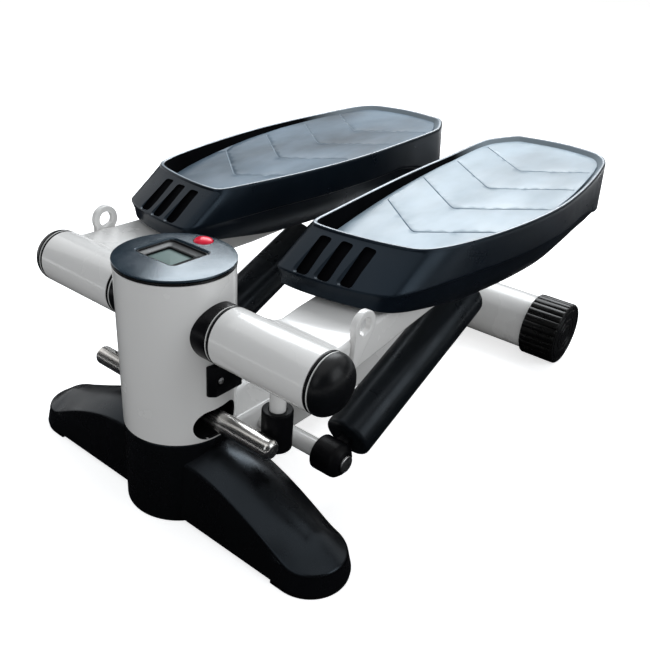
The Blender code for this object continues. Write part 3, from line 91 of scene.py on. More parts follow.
GROOVE_HALF, GROOVE_DEEP, APEX_R = mm(0.55, 0.5, 2)
COVER_R, COVER_TOP, COVER_T, COVER_DOME = mm(38.6, 179.8, 2.6, 0.8)
SKIRT_R, SKIRT_BOTTOM, RING_T = mm(35.4, 158, 1.5)
WINDOW, WINDOW_AT = mm(36.5, 31), mm(-5.4, 2.6)
LCD_SIZE, LCD_AT = mm(25, 22), mm(-5.6, 0.2)
BOARD_TOP, BUTTON_R, BUTTON_PROUD = mm(171.5, 6.4, 3)
BUTTON_AT = mm(-5.5, 28.6)
HOUSING_X, HOUSING_ROOT, HOUSING_CHAMFER = mm(42, 30, 3.4)
HOUSING_Y, HOUSING_Z, SCREW_AT = mm(-6.3, 17), mm(97.5, 119.5), mm(-2.6, 108.8)
ORIGIN = Vector((0, -185.15 * MM, 0))
SHIFT = Matrix.Translation(ORIGIN)

# The camera, fitted to the photo: its place from the column's foot, and its lens in the photo's pixels
CAMERA_AT = ORIGIN + Vector((329.2, -279.4, 356.2)) * MM
AZIMUTH, ELEVATION, ROLL = (radians(turn) for turn in (37.57, 29.14, 3.92))
PHOTO_SIZE, FOCAL_LENGTH, PHOTO_CENTRE, SENSOR = 650, 745.31, (317.32, 348.6), 36


# Materials

def node(tree, kind, *sources, **values):
    """A new shader node, with sources linked to its first inputs and values set."""
    made = tree.nodes.new("ShaderNode" + kind)
    for source, socket in zip(sources, made.inputs):
        tree.links.new(source, socket)
    for name, value in values.items():
        if name in made.inputs:
            made.inputs[name].default_value = value
        else:
            setattr(made, name, value)
    return made


def noise(tree, where, scale, detail, stretch=(1, 1, 1)):
    """Noise in the object's own metres: scale is in features per metre."""
    mapped = node(tree, "Mapping", where, Scale=stretch).outputs[0]
    return node(tree, "TexNoise", mapped, Scale=scale, Detail=detail).outputs["Fac"]


def ramp(tree, source, low, high, start, end):
    """Maps a source's low..high to colours or greys from start to end."""
    made = node(tree, "ValToRGB", source)
    stops = made.color_ramp.elements
    stops[0].position, stops[1].position = low, high
    stops[0].color, stops[1].color = start, end
    return made.outputs["Color"]


def grey(value):
    return (value, value, value, 1)


def covered(tree, base, mask, colour):
    """The base with a colour over it where the mask is white."""
    return node(tree, "MixRGB", mask, base, Color2=(*colour, 1)).outputs["Color"]


def principled(name, values):
    """A new material with these values, its node tree and its shader's inputs."""
    made = bpy.data.materials.new(name)
    made.use_nodes = True
    inputs = made.node_tree.nodes["Principled BSDF"].inputs
    for socket, value in values.items():
        inputs[socket].default_value = value
    return made, made.node_tree, inputs


def finish(name, colour, vary, rough, clouds=18, grain=1500, relief=0.1, depth=0.05, metallic=0.0,
           specular=0.5, tint=(1, 1, 1), coat=0.0, coat_rough=0.1, stretch=(1, 1, 1), spots=None):
    """A finish with cloudy colour, uneven gloss and fine relief.

    vary is the share by which the colour drifts, rough the least and the most roughness, clouds and grain
    are in features per metre, depth is the relief's in mm, and spots are (scale, colour, threshold).
    """
    made, tree, inputs = principled(name, {
        "Metallic": metallic, "Specular IOR Level": specular, "Specular Tint": (*tint, 1),
        "Coat Weight": coat, "Coat Roughness": coat_rough})
    where = node(tree, "TexCoord").outputs["Object"]
    drift = [(*[min(c * (1 + share), 1) for c in colour], 1) for share in (-vary, vary)]
    base = ramp(tree, noise(tree, where, clouds, 4.0, stretch), 0.3, 0.7, *drift)
    if spots:
        scale, spot_colour, start = spots
        mask = ramp(tree, noise(tree, where, scale, 2.0), start, start + 0.06, grey(0), grey(1))
        base = covered(tree, base, mask, spot_colour)
    tree.links.new(base, inputs["Base Color"])
    gloss = noise(tree, where, clouds * 2.3, 5.0, stretch)
    tree.links.new(ramp(tree, gloss, 0.3, 0.7, *map(grey, rough)), inputs["Roughness"])
    bump = node(tree, "Bump", Strength=relief, Distance=depth * MM)
    tree.links.new(noise(tree, where, grain, 2.0, stretch), bump.inputs["Height"])
    tree.links.new(bump.outputs["Normal"], inputs["Normal"])
    return made


def painted_light_along_y(material, colour, start, end):
    """Fades a finish to another colour along y: painted light, as on the trays' inner wall towards the heel.
    """
    tree = material.node_tree
    target = tree.nodes["Principled BSDF"].inputs["Base Color"]
    split = node(tree, "SeparateXYZ", node(tree, "TexCoord").outputs["Object"])
    mask = ramp(tree, split.outputs["Y"], start, end, grey(0), grey(1))
    tree.links.new(covered(tree, target.links[0].from_socket, mask, colour), target)


WHITE = finish("white_paint", (0.81, 0.8, 0.785), 0.012, (0.2, 0.3), clouds=9, grain=420, depth=0.06,
               coat=0.5, coat_rough=0.08)
# Near-black, for the column's inside seen through the slots, and the shelf in it.
DARK_INSIDE = finish("dark_inside", (0.012, 0.012, 0.013), 0.3, (0.5, 0.75), clouds=60, grain=500, relief=0.6,
                depth=0.4, specular=0.25)
BLACK = finish("black_plastic", (0.003, 0.0035, 0.0045), 0.15, (0.26, 0.38), clouds=40, relief=0.12,
               specular=0.28)
RING = finish("bush_plastic", (0.003, 0.003, 0.004), 0.15, (0.24, 0.36), clouds=40, grain=1200, specular=0.2)
TRAY = finish("tray_plastic", (0.0035, 0.006, 0.01), 0.25, (0.26, 0.36), clouds=25, grain=1700,
              relief=0.25, depth=0.08, specular=0.28, tint=(0.6, 0.8, 1))
# Near-black and almost without gloss, for the trays' inner walls and the toe slots' insides: painted shade in
# these recesses.
INSIDE_SHADE_AND_LIGHT = finish("tray_inside_painted_shade_and_light", (0.001, 0.0012, 0.0018), 0.3, (0.6, 0.8), clouds=25, grain=1700, relief=0.2,
              specular=0.02)
# Towards the heel the trays' inner wall fades to pale grey-blue: painted light.
painted_light_along_y(INSIDE_SHADE_AND_LIGHT, (0.26, 0.3, 0.33), 0.1, 0.15)
# Lighter grey-blue band along the inner top edge of the trays' rim: a painted highlight, on top of its real
# gloss.
RIM_HIGHLIGHT = finish("rim_painted_highlight", (0.34, 0.39, 0.44), 0.35, (0.18, 0.3), clouds=30, specular=0.8)
FOOT = finish("foot_plastic", (0.003, 0.003, 0.0035), 0.25, (0.22, 0.36), clouds=16, relief=0.2, depth=0.08,
              specular=0.36, tint=(0.7, 0.85, 1))
RUBBER = finish("rubber", (0.003, 0.003, 0.003), 0.2, (0.22, 0.36), clouds=50, grain=1100, relief=0.12,
                specular=0.3)
SLEEVE = finish("sleeve_plastic", (0.003, 0.003, 0.004), 0.2, (0.35, 0.5), clouds=50, relief=0.15,
                specular=0.12)
COVER = finish("cover_plastic", (0.02, 0.032, 0.044), 0.12, (0.13, 0.22), clouds=30, grain=1300,
               relief=0.35, depth=0.1, specular=0.85, tint=(0.7, 0.87, 1))
DAMPER = finish("damper_paint", (0.0055, 0.007, 0.009), 0.4, (0.24, 0.4), clouds=22, grain=1100,
                relief=0.3, specular=0.26, tint=(0.8, 0.9, 1))
CHROME = finish("chrome", (0.82, 0.8, 0.77), 0.08, (0.2, 0.32), clouds=30, stretch=(0.15, 3, 3), grain=900,
                relief=0.03, depth=0.02, metallic=1.0)
ROD = finish("rod_chrome", (0.62, 0.62, 0.63), 0.05, (0.06, 0.14), clouds=30, grain=900, relief=0.03,
             depth=0.02, metallic=1.0)
ZINC = finish("zinc", (0.62, 0.62, 0.62), 0.08, (0.25, 0.4), clouds=120, grain=1600, relief=0.25,
              metallic=1.0)
LCD = finish("lcd_glass", (0.165, 0.225, 0.215), 0.05, (0.4, 0.5), clouds=60, grain=2500, relief=0.05,
             specular=0.08)
BOARD = finish("circuit_board", (0.02, 0.12, 0.05), 0.2, (0.4, 0.55), clouds=200, relief=0.2,
               spots=(300, (0.45, 0.33, 0.12), 0.62))
RED = finish("red_plastic", (0.8, 0.006, 0.04), 0.04, (0.16, 0.24), clouds=90, relief=0.05, specular=0.45,
             tint=(1, 0.55, 0.6))
NYLON = finish("nylon", (0.72, 0.72, 0.7), 0.04, (0.35, 0.5), clouds=100)
# The far mat is the near one's rubber in painted shade: darker and less glossy, its stronger clouds a painted
# reflection. The near mat's grooves are darker than it, painted shade; the far mat's are lighter than it, a
# painted highlight
MATS_WITH_PAINTED_LIGHT_AND_SHADE = {
    side: (finish("mat_rubber_and_painted_shade_" + side, colour, vary, rough, clouds=22, stretch=(1, 0.45, 1), grain=1400,
                  relief=0.15, specular=specular),
           finish("mat_groove_painted_shade_and_highlight_" + side, groove, 0.1, (0.5, 0.6), grain=1400, specular=0.2))
    for side, colour, vary, rough, specular, groove in (
        ("left", (0.29, 0.375, 0.44), 0.26, (0.28, 0.46), 0.5, (0.15, 0.21, 0.27)),
        ("right", (0.105, 0.145, 0.185), 0.45, (0.3, 0.5), 0.12, (0.24, 0.29, 0.34)))
}


# Building blocks

def placed(name, data):
    """A new object in the scene."""
    obj = bpy.data.objects.new(name, data)
    bpy.context.scene.collection.objects.link(obj)
    return obj


def sharpened(mesh, sharp=SHARP):
    """The mesh smooth, but for edges sharper than an angle in degrees."""
    mesh.shade_smooth()
    mesh.set_sharp_from_angle(angle=radians(sharp))
    return mesh


def meshed(bm):
    mesh = bpy.data.meshes.new("form")
    bm.to_mesh(mesh)
    bm.free()
    return mesh


def to_mesh(bm, matrix=SHIFT, sharp=SHARP):
    """The mesh of a shape, placed and cleaned."""
    bmesh.ops.transform(bm, verts=bm.verts, matrix=matrix)
    bmesh.ops.remove_doubles(bm, verts=bm.verts, dist=SAME_POINT)
    bmesh.ops.recalc_face_normals(bm, faces=bm.faces)
    return sharpened(meshed(bm), sharp)


def piece(name, mesh, material, replaced, body="frame", slot=None):
    """A finished piece, in place in the row frame, that rides on a body and stands for a CAD node.

    The slot argument is not used.
    """
    obj = placed(name, mesh)
    mesh.name = name
    materials = material if isinstance(material, tuple) else (material,)
    for made in materials:
        mesh.materials.append(made)
    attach(obj, body)
    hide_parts(replaced)
    slot or materials[0].name.split(".")[0]


def joined(meshes, sharp=SHARP):
    bm = bmesh.new()
    for mesh in meshes:
        bm.from_mesh(mesh)
    return sharpened(meshed(bm), sharp)


def along(at, direction):
    """Places a shape built along Z so that it lies along a direction through a point."""
    turn = Vector(direction).to_track_quat("Z", "Y").to_matrix().to_4x4()
    return Matrix.Translation(ORIGIN + Vector(at)) @ turn


UPRIGHT = along((0, 0, 0), Z)


def rounded(profile, closed=False):
    """Rounds a profile of (radius, height) points, by some mm where a point has a third number."""
    points = []
    count = len(profile)
    for i, (r, h, *soft) in enumerate(profile):
        corner = Vector((r, h))
        if not any(soft) or (not closed and i in (0, count - 1)):
            points.append(corner)
            continue
        before = Vector(profile[i - 1][:2]) - corner
        after = Vector(profile[(i + 1) % count][:2]) - corner
        reach = min(soft[0] * MM, before.length * 0.49, after.length * 0.49)
        start = corner + before.normalized() * reach
        end = corner + after.normalized() * reach
        for k in range(ROUND_STEPS + 1):
            t = k / ROUND_STEPS
            points.append(start * (1 - t) ** 2 + corner * 2 * t * (1 - t) + end * t ** 2)
    return [(p.x, p.y) for p in points]


def turned(profile, matrix, steps=STEPS, closed=False):
    """A rounded profile turned about Z, then placed."""
    turns = [2 * pi * i / steps for i in range(steps)]
    rings = [[(r * cos(a), r * sin(a), h) for a in (turns if r > 1e-7 else (0,))]
             for r, h in rounded(profile, closed)]
    return lofted(rings, matrix, closed, caps=False)


def pipe(bore, radius, low, high, matrix, soft=0, bore_soft=0, steps=STEPS):
    """A turned ring, or a rod where the bore is 0, with its edges rounded by some mm."""
    profile = [(bore, low, bore_soft), (radius, low, soft), (radius, high, soft), (bore, high, bore_soft)]
    return turned(profile, matrix, steps, closed=True)


def dome_profile(radius, base, rise, steps=12):
    """A quarter of an ellipse, from the middle of a dome out to its edge."""
    turns = [radians(90 * k / steps) for k in range(steps + 1)]
    return [(radius * sin(a), base + rise * cos(a)) for a in turns]


def loft(bm, rings, closed=False):
    """Faces between rings of points; a ring of one point makes a tip."""
    rows = [[bm.verts.new(point) for point in ring] for ring in rings]
    count = max(len(row) for row in rows)
    for lower, upper in list(zip(rows, rows[1:])) + ([(rows[-1], rows[0])] if closed else []):
        for i in range(count):
            j = (i + 1) % count
            corners = list(dict.fromkeys((lower[i % len(lower)], lower[j % len(lower)],
                                          upper[j % len(upper)], upper[i % len(upper)])))
            if len(corners) > 2:
                bm.faces.new(corners)
    return rows


def lofted(rings, matrix=SHIFT, closed=False, caps=True, sharp=SHARP):
    bm = bmesh.new()
    rows = loft(bm, rings, closed)
    if caps and not closed:
        bm.faces.new(rows[0])
        bm.faces.new(rows[-1])
    return to_mesh(bm, matrix, sharp)


def arc(centre, radius, start, end, steps):
    angles = [radians(start + (end - start) * i / steps) for i in range(steps + 1)]
    return [(centre[0] + radius * cos(a), centre[1] + radius * sin(a)) for a in angles]


def round_box(centre, half, radius, steps=6):
    """Outline of a rectangle with round corners."""
    (cx, cy), (hx, hy) = centre, half
    radius = min(radius, hx * 0.99, hy * 0.99)
    points = []
    for sx, sy, start in ((1, 1, 0), (-1, 1, 90), (-1, -1, 180), (1, -1, 270)):
        points += arc((cx + sx * (hx - radius), cy + sy * (hy - radius)), radius, start, start + 90, steps)
    return points


def banded(rings, slots):
    """A capped loft whose first bands, and its first cap, are given material slots."""
    bm = bmesh.new()
    rows = loft(bm, rings)
    bm.faces.ensure_lookup_table()
    count = len(rings[0])
    for band, slot in enumerate(slots):
        for face in bm.faces[band * count:(band + 1) * count]:
            face.material_index = slot
    bm.faces.new(rows[0]).material_index = slots[0]
    bm.faces.new(rows[-1])
    return bm


def box_rings(centre, half, levels, steps=6):
    """Rings of a rounded rectangle, one per level of (growth in mm, height, corner radius in mm)."""
    return [[(x, y, z) for x, y in round_box(centre, [h + grow * MM for h in half], soft * MM, steps)]
            for grow, z, soft in levels]


def applied(mesh, cutters):
    """The mesh less its cutters."""
    obj = placed("work", mesh)
    helpers = [obj]
    for blade in cutters:
        modifier = obj.modifiers.new("cut", "BOOLEAN")
        modifier.object = placed("blade", blade)
        modifier.operation = "DIFFERENCE"
        modifier.solver = "EXACT"
        helpers.append(modifier.object)
    bpy.context.view_layer.update()
    made = bpy.data.meshes.new_from_object(obj.evaluated_get(bpy.context.evaluated_depsgraph_get()))
    for helper in helpers:
        bpy.data.objects.remove(helper)
    return sharpened(made)


def smooth_step(value, start, end):
    t = min(max((value - start) / (end - start), 0), 1)
    return t * t * (3 - 2 * t)


# Column, beam and rear foot

def column():
    """Painted tube with a dark inside, seen through the slots, and the core below it."""
    edge = 0.7
    tube = pipe(COLUMN_R - COLUMN_WALL, COLUMN_R, COLUMN_BOTTOM, COLUMN_TOP, UPRIGHT, edge, edge, 180)
    outline = arc((SLOT_HALF - SLOT_R, ROCKER_Z), SLOT_R, -90, 90, 24)
    outline += arc((SLOT_R - SLOT_HALF, ROCKER_Z), SLOT_R, 90, 270, 24)
    reach = 1.2 * COLUMN_R
    blade = lofted([[(x, y, z) for y, z in outline] for x in (-reach, reach)])
    top = COLUMN_BOTTOM + 1 * MM
    core = turned([(0, CORE_BOTTOM), (CORE_R, CORE_BOTTOM, 1), (CORE_R, top), (0, top)], UPRIGHT, 64)
    mesh = joined([applied(tube, [blade]), core])
    for face in mesh.polygons:
        point = face.center - ORIGIN
        if hypot(point.x, point.y) < COLUMN_R - COLUMN_WALL / 2 and point.z < COLUMN_TOP - edge * MM:
            face.material_index = 1
    piece("column_form", mesh, (WHITE, DARK_INSIDE), "column")


def beam_and_rear():
    start, end, sections = 26 * MM, REAR_Y - 16 * MM, 12
    outline = round_box((0, REAR_Z), (BEAM_HALF, BEAM_HALF), 3.5 * MM)
    rings = [[(x, start + (end - start) * i / sections, z) for x, z in outline] for i in range(sections + 1)]
    weld = weld_line([(x, REAR_Y - sqrt(REAR_R ** 2 - (z - REAR_Z) ** 2) - 0.3 * MM, z)
                      for x, z in outline], 1.4 * MM)
    piece("beam_form", joined([lofted(rings), weld]), WHITE, "main_beam")
    place = along((0, REAR_Y, REAR_Z), X)
    tube = pipe(REAR_R - 2 * MM, REAR_R, -REAR_HALF, REAR_HALF, place, 0.8, 0.8, 128)
    piece("rear_tube_form", tube, WHITE, "rear_tube")
    for side, sign in SIDES:
        rear_cap(side, sign)


def weld_line(points, radius):
    """A closed weld bead: a thin tube, a little lumpy, along the points."""
    rings = []
    for i, point in enumerate(points):
        ahead = (Vector(points[(i + 1) % len(points)]) - Vector(points[i - 1])).normalized()
        side = ahead.orthogonal().normalized()
        other = ahead.cross(side)
        swell = radius * (1 + 0.12 * sin(i * 2.4))
        rings.append([Vector(point) + (side * cos(a) + other * sin(a)) * swell
                      for a in (2 * pi * k / 8 for k in range(8))])
    return lofted(rings, closed=True, sharp=60)


def rear_cap(side, sign):
    """Cup with rounded ribs, a plain part where it stands, and rings moulded in its end face."""
    count = CAP_RIBS * 12
    plain = radians(50)
    bevel = 2.2 * MM
    face = CAP_OUTER_X

    def ring(x, radius, ribbed):
        points = []
        for i in range(count):
            turn = 2 * pi * i / count
            down = abs((turn + pi / 2 + pi) % (2 * pi) - pi)
            groove = (1 - abs(sin(CAP_RIBS * turn / 2)) ** 0.55) * CAP_RIB_DEPTH
            reach = radius - (groove * ribbed if down > plain else 0)
            points.append((sign * x, reach * cos(turn), REAR_Z + reach * sin(turn)))
        return points

    rings = [ring(CAP_INNER_X + 6 * MM, REAR_R + GAP, 0), ring(CAP_INNER_X, REAR_R + GAP, 0),
             ring(CAP_INNER_X, CAP_R - 1.4 * MM, 0.3), ring(CAP_INNER_X + 0.4 * MM, CAP_R - 0.5 * MM, 0.8),
             ring(CAP_INNER_X + 1.2 * MM, CAP_R, 1), ring(face - bevel - 1 * MM, CAP_R, 1)]
    for k in range(1, 6):
        turn = radians(18 * k)
        rings.append(ring(face - bevel + bevel * sin(turn), CAP_R - bevel + bevel * cos(turn), 1 - k / 5))
    for radius, back in ((26, 0), (25.4, 0.5), (24.6, 0.5), (24, 0), (17, 0), (16.5, 0.5), (15.7, 0.5),
                         (15.2, 0), (10.6, 0), (10.1, 0.5), (9.3, 0.5), (8.8, 0), (4, 0), (0.4, 0)):
        rings.append(ring(face - back * MM, radius * MM, 0))
    shift = Matrix.Translation(ORIGIN + Vector((0, REAR_Y, 0)))
    piece("rear_cap_form_" + side, lofted(rings, shift, caps=False, sharp=30), RUBBER, "rear_cap_" + side)


# Front foot

def crease_z(x):
    """Height of the edge between the foot's upright wall and its rounded top."""
    inward = FOOT_TIP - abs(x)
    share = min((inward + hypot(inward, CREASE_BLEND)) / 2 / (FOOT_TIP - COLUMN_R), 1)
    return TIP_CREASE_Z + (ROOT_CREASE_Z - TIP_CREASE_Z) * (1 - (1 - share) ** CREASE_POWER)


def crown_rise(x):
    return CROWN + TIP_FILL * exp(-((abs(x) - FOOT_TIP) / TIP_SPREAD) ** 2)


def foot_outline(inset=0.0):
    radius = FOOT_DEPTH / 2 - inset
    steps = 60
    points = []
    for side, turn in ((1, -90), (-1, 90)):
        points += arc((side * FOOT_TIP, 0), radius, turn, turn + 180, 32)
        points += [(side * (FOOT_TIP - 2 * FOOT_TIP * i / steps), side * radius) for i in range(1, steps)]
    return points


def foot_rings(inset):
    """Rings of the wings' skin, from the floor up the wall, over the soft edge and the crown to the spine."""
    outline = foot_outline(inset)
    pairs = list(zip(foot_outline(inset - FOOT_FLARE), outline))
    soft = 1.6 * MM
    rings = []
    for share, lift in ((0, None), (0.06, None), (0.3, None), (0.6, None), (0.9, None), (0.965, -soft),
                        (0.985, -soft * 0.45)):
        rings.append([])
        for (fx, fy), (x, y) in pairs:
            crease = crease_z(x) - inset
            z = FOOT_CLEAR + (crease - FOOT_CLEAR) * share if lift is None else crease + lift
            rings[-1].append((fx + (x - fx) * share, fy + (y - fy) * share, z))
    for share in (0.015, 0.04, 0.08, 0.14, 0.22, 0.32, 0.44, 0.58, 0.72, 0.86, 0.95, 1.0):
        ring = []
        for x, y in outline:
            px = x + (min(max(x, -FOOT_TIP), FOOT_TIP) - x) * share
            rise = crown_rise(px) * sin(share * pi / 2) - (0.12 * MM if share < 0.02 else 0)
            ring.append((px, y * (1 - share), crease_z(px) + rise - inset))
        rings.append(ring)
    return rings


def front_foot():
    """Two hollow wings and a boss round the column's core, with a rubber pad under each wing."""
    wall = 3.5 * MM
    wings = lofted(foot_rings(wall)[::-1] + foot_rings(0), caps=False, sharp=30)
    top, low, hollow = COLUMN_BOTTOM - GAP, 0.6 * MM, BOSS_R - 4.4 * MM
    boss = turned([
        (CORE_R + GAP, top), (COLUMN_R, top, 0.8), (BOSS_R, low, 0.8), (hollow, low, 0.5),
        (hollow, top - wall, 1), (CORE_R + GAP, top - wall)], UPRIGHT, 128, closed=True)
    piece("front_foot_form", joined([wings, boss], 30), FOOT, "front_foot")
    length = FOOT_HALF - PAD_INNER_X
    for side, sign in SIDES:
        outline = [(x, y) for x, y in foot_outline(0.4 * MM - FOOT_FLARE) if x > PAD_INNER_X]
        half = max(y for _, y in outline)
        outline += [(PAD_INNER_X, half), (PAD_INNER_X, -half)]
        rings = [[(sign * (PAD_INNER_X + (x - PAD_INNER_X) * (1 - inset / length)), y * (1 - inset / half), z)
                  for x, y in outline]
                 for inset, z in (mm(1, 0), mm(0.3, 0.3), mm(0, 1), mm(0, 3), mm(0.2, 3.5), mm(0.6, 3.7))]
        piece("front_pad_form_" + side, lofted(rings), RUBBER, "front_pad_" + side)


# Cross axle

def axle_seats():
    """Spacers, thrust washers and end domes on the cross axle."""
    bore = AXLE_R + GAP
    inner_washer = TUBE_IN - FLANGE - 2 * GAP - WASHER_T
    outer_washer = TUBE_OUT + FLANGE + 2 * GAP
    saddle, soft = 31 * MM, 0.4 * MM
    for side, sign in SIDES:
        place = along((0, 0, PIVOT_Z), X * sign)
        end = inner_washer - GAP
        profile = [(bore, saddle), (TUBE_R, saddle), (TUBE_R, end, 0.8), (bore, end)]
        spacer = turned(profile, place, closed=True)
        piece("pivot_spacer_form_" + side, spacer, RING, "pivot_spacer_" + side, slot="black_plastic")
        for where, start in (("inner", inner_washer), ("outer", outer_washer)):
            disc = pipe(bore, TUBE_R - 0.25 * MM, start, start + WASHER_T, place, 0.15)
            piece(f"washer_form_{where}_{side}", disc, NYLON, f"thrust_washer_{where}_{side}")
        start = outer_washer + WASHER_T + GAP
        profile = [(TUBE_R - 2 * MM, start), (TUBE_R - soft, start)]
        profile += dome_profile(TUBE_R, start + soft, DOME_BULGE - soft, 14)[::-1]
        piece("axle_dome_form_" + side, turned(profile, place, 128), BLACK, "axle_dome_" + side)


# Arms: DECK leads from their tilted plane to the row frame

DECK = Matrix.Translation(ORIGIN + Vector((0, 0, PIVOT_Z))) @ Matrix.Rotation(TILT, 4, "X")


def arm(side, sign):
    """Cross tube, box arm flowing into it, band eye, push post and damper ears."""
    place = along((0, 0, PIVOT_Z), X * sign)
    tube = pipe(TUBE_R - 2.5 * MM, TUBE_R, TUBE_IN, TUBE_OUT, place, 0.6, 0.6, 128)
    low, high = SLEEVE_BOTTOM + 4 * MM, PIVOT_Z - TUBE_R + 6 * MM
    upright = along((sign * POST_X, POST_Y, 0), Z)
    post = turned([(0, low), (POST_R, low, 0.6), (POST_R, high), (0, high)], upright, 48)
    meshes = [tube, box_arm(sign), band_eye(sign), post, ear(sign, -1), ear(sign, 1)]
    piece("arm_form_" + side, joined(meshes), WHITE, "arm_" + side, side + "_arm")


def box_middle(s):
    """Where the box arm's middle line lies across, at a distance from the pivot."""
    for (s0, x0), (s1, x1) in zip(BOX_LINE, BOX_LINE[1:]):
        if s <= s1 * MM:
            return (x0 + (x1 - x0) * (s / MM - s0) / (s1 - s0)) * MM
    return BOX_LINE[-1][1] * MM


def box_arm(sign):
    """Box arm whose top and inner side run into the tube in a small hollow, as a ground weld does."""
    low, soft, side_soft = BOX_TOP - BOX_HEIGHT, 12 * MM, 8 * MM
    centre_s = sqrt((TUBE_R + soft) ** 2 - (BOX_TOP + soft) ** 2)
    touch_s = TUBE_R * centre_s / (TUBE_R + soft)
    stations = [*mm(8, 9.5), *[touch_s + k * 0.6 * MM for k in range(1, 30)],
                *mm(29, 31, 33, 37, 41, 46, 54, 62, 71, 84, 97, 114, 132, 180, 240), BOX_END]
    rings = []
    for s in stations:
        top = BOX_TOP
        if s < centre_s:
            top = BOX_TOP + soft - sqrt(max(soft ** 2 - (s - centre_s) ** 2, 0))
        if s < touch_s:
            top = sqrt(TUBE_R ** 2 - s ** 2) - 0.3 * MM
        ring = []
        for x, h in round_box((0, (low + top) / 2), (BOX_WIDTH / 2, (top - low) / 2), 3 * MM, 5):
            ahead = s - sqrt(max(TUBE_R ** 2 - h ** 2, 0))
            reach = min(max(side_soft - ahead, 0), side_soft)
            flare = side_soft - sqrt(side_soft ** 2 - reach ** 2)
            ring.append((sign * (box_middle(s) + x - flare * smooth_step(-x, 0, BOX_WIDTH / 2)), s, h))
        rings.append(ring)
    return lofted(rings, DECK)


def band_eye(sign):
    """Flat eye with rounded edges, its stem welded to the outer side of the box arm."""
    outer = arc((EYE_Y, EYE_Z), EYE_R, -38, 208, 44)
    outer += arc((EYE_Y - 6.2 * MM, EYE_Z - 20 * MM), 3.6 * MM, 180, 340, 18)
    turns = [atan2(z - EYE_Z, y - EYE_Y) for y, z in outer]
    hole = [(EYE_Y + EYE_HOLE_R * cos(a), EYE_Z + EYE_HOLE_R * sin(a)) for a in turns]
    x0, x1, soft = mm(116.4, 121, 0.9)
    quarter = [radians(turn) for turn in (90, 67, 45, 22, 0)]
    levels = [(x0 + soft - soft * sin(a), soft * (cos(a) - 1)) for a in quarter]
    levels += [(x1 - soft + soft * sin(a), soft * (cos(a) - 1)) for a in quarter[::-1]]

    def at(x, grow, outline):
        ring = []
        for i, point in enumerate(outline):
            point = Vector(point)
            ahead = Vector(outline[(i + 1) % len(outline)]) - Vector(outline[i - 1])
            normal = Vector((ahead.y, -ahead.x)).normalized()
            if outline is hole:
                normal = (Vector((EYE_Y, EYE_Z)) - point).normalized()
            ring.append((sign * x, *(point + normal * grow)))
        return ring

    rings = [at(*level, outer) for level in levels] + [at(*level, hole) for level in levels[::-1]]
    return lofted(rings, closed=True)


def ear(sign, out):
    """One of the two plates that hold the damper's upper pin, on the inner or the outer side of it."""
    pin = Vector((0, DAMPER_Y, DAMPER_Z)) + DAMPER_AXIS * PIN_AT
    radius, inner, thick, soft = mm(9.4, 6.6, 4, 0.5)
    x0, x1 = sorted((sign * DAMPER_X + out * inner, sign * DAMPER_X + out * (inner + thick)))
    top, wide = pin.z + 18.4 * MM, radius + 1 * MM
    outline = arc((pin.y, pin.z), radius, 180, 360, 24) + [(pin.y + wide, top), (pin.y - wide, top)]
    return lofted([[(x, pin.y + (y - pin.y) * grow, z) for y, z in outline]
                   for x, grow in ((x0, 0.95), (x0 + soft, 1), (x1 - soft, 1), (x1, 0.95))])


def arm_fittings(side, sign):
    """Bushes and push sleeve."""
    place = along((0, 0, PIVOT_Z), X * sign)
    plug, bore = TUBE_R - 2.8 * MM, AXLE_R + GAP
    for where, face, out in (("inner", TUBE_IN, -1), ("outer", TUBE_OUT, 1)):
        seat, rim, deep = face + out * GAP, face + out * FLANGE, face - out * 14 * MM
        bush = turned([(bore, rim), (TUBE_R, rim, 0.5), (TUBE_R, seat, 0.3), (plug, seat), (plug, deep, 0.5),
                       (bore, deep)], place, closed=True)
        end = where + "_" + side
        piece("bush_form_" + end, bush, RING, "arm_bush_" + end, side + "_arm", "black_plastic")
    hole, floor = POST_R + GAP, SLEEVE_BOTTOM + 3 * MM
    sleeve = turned([
        (0, SLEEVE_BOTTOM), (SLEEVE_R, SLEEVE_BOTTOM, 1.6), (SLEEVE_R, SLEEVE_TOP, 1.4),
        (hole, SLEEVE_TOP, 0.8), (hole, floor), (0, floor)], along((sign * POST_X, POST_Y, 0), Z), 72)
    piece("push_sleeve_form_" + side, sleeve, SLEEVE, "push_sleeve_" + side, side + "_arm", "black_plastic")


# Rocker bar

def rocker_bar():
    """Chrome bar with chamfered ends, and the hub that it turns on inside the column."""
    half, small, soft = ROCKER_HALF, ROCKER_R - ROCKER_CHAMFER, 1.2
    bar = turned([
        (0, -half), (small, -half, soft), (ROCKER_R, ROCKER_CHAMFER - half, soft),
        (ROCKER_R, half - ROCKER_CHAMFER, soft), (small, half, soft), (0, half)],
        along((0, 0, ROCKER_Z), X), 96)
    hub = pipe(*mm(5.3, 12, -10, 10), along((0, 0, ROCKER_Z), Z), 1, steps=64)
    piece("rocker_bar_form", joined([bar, hub]), CHROME, "rocker_bar", "rocker")


# Dampers

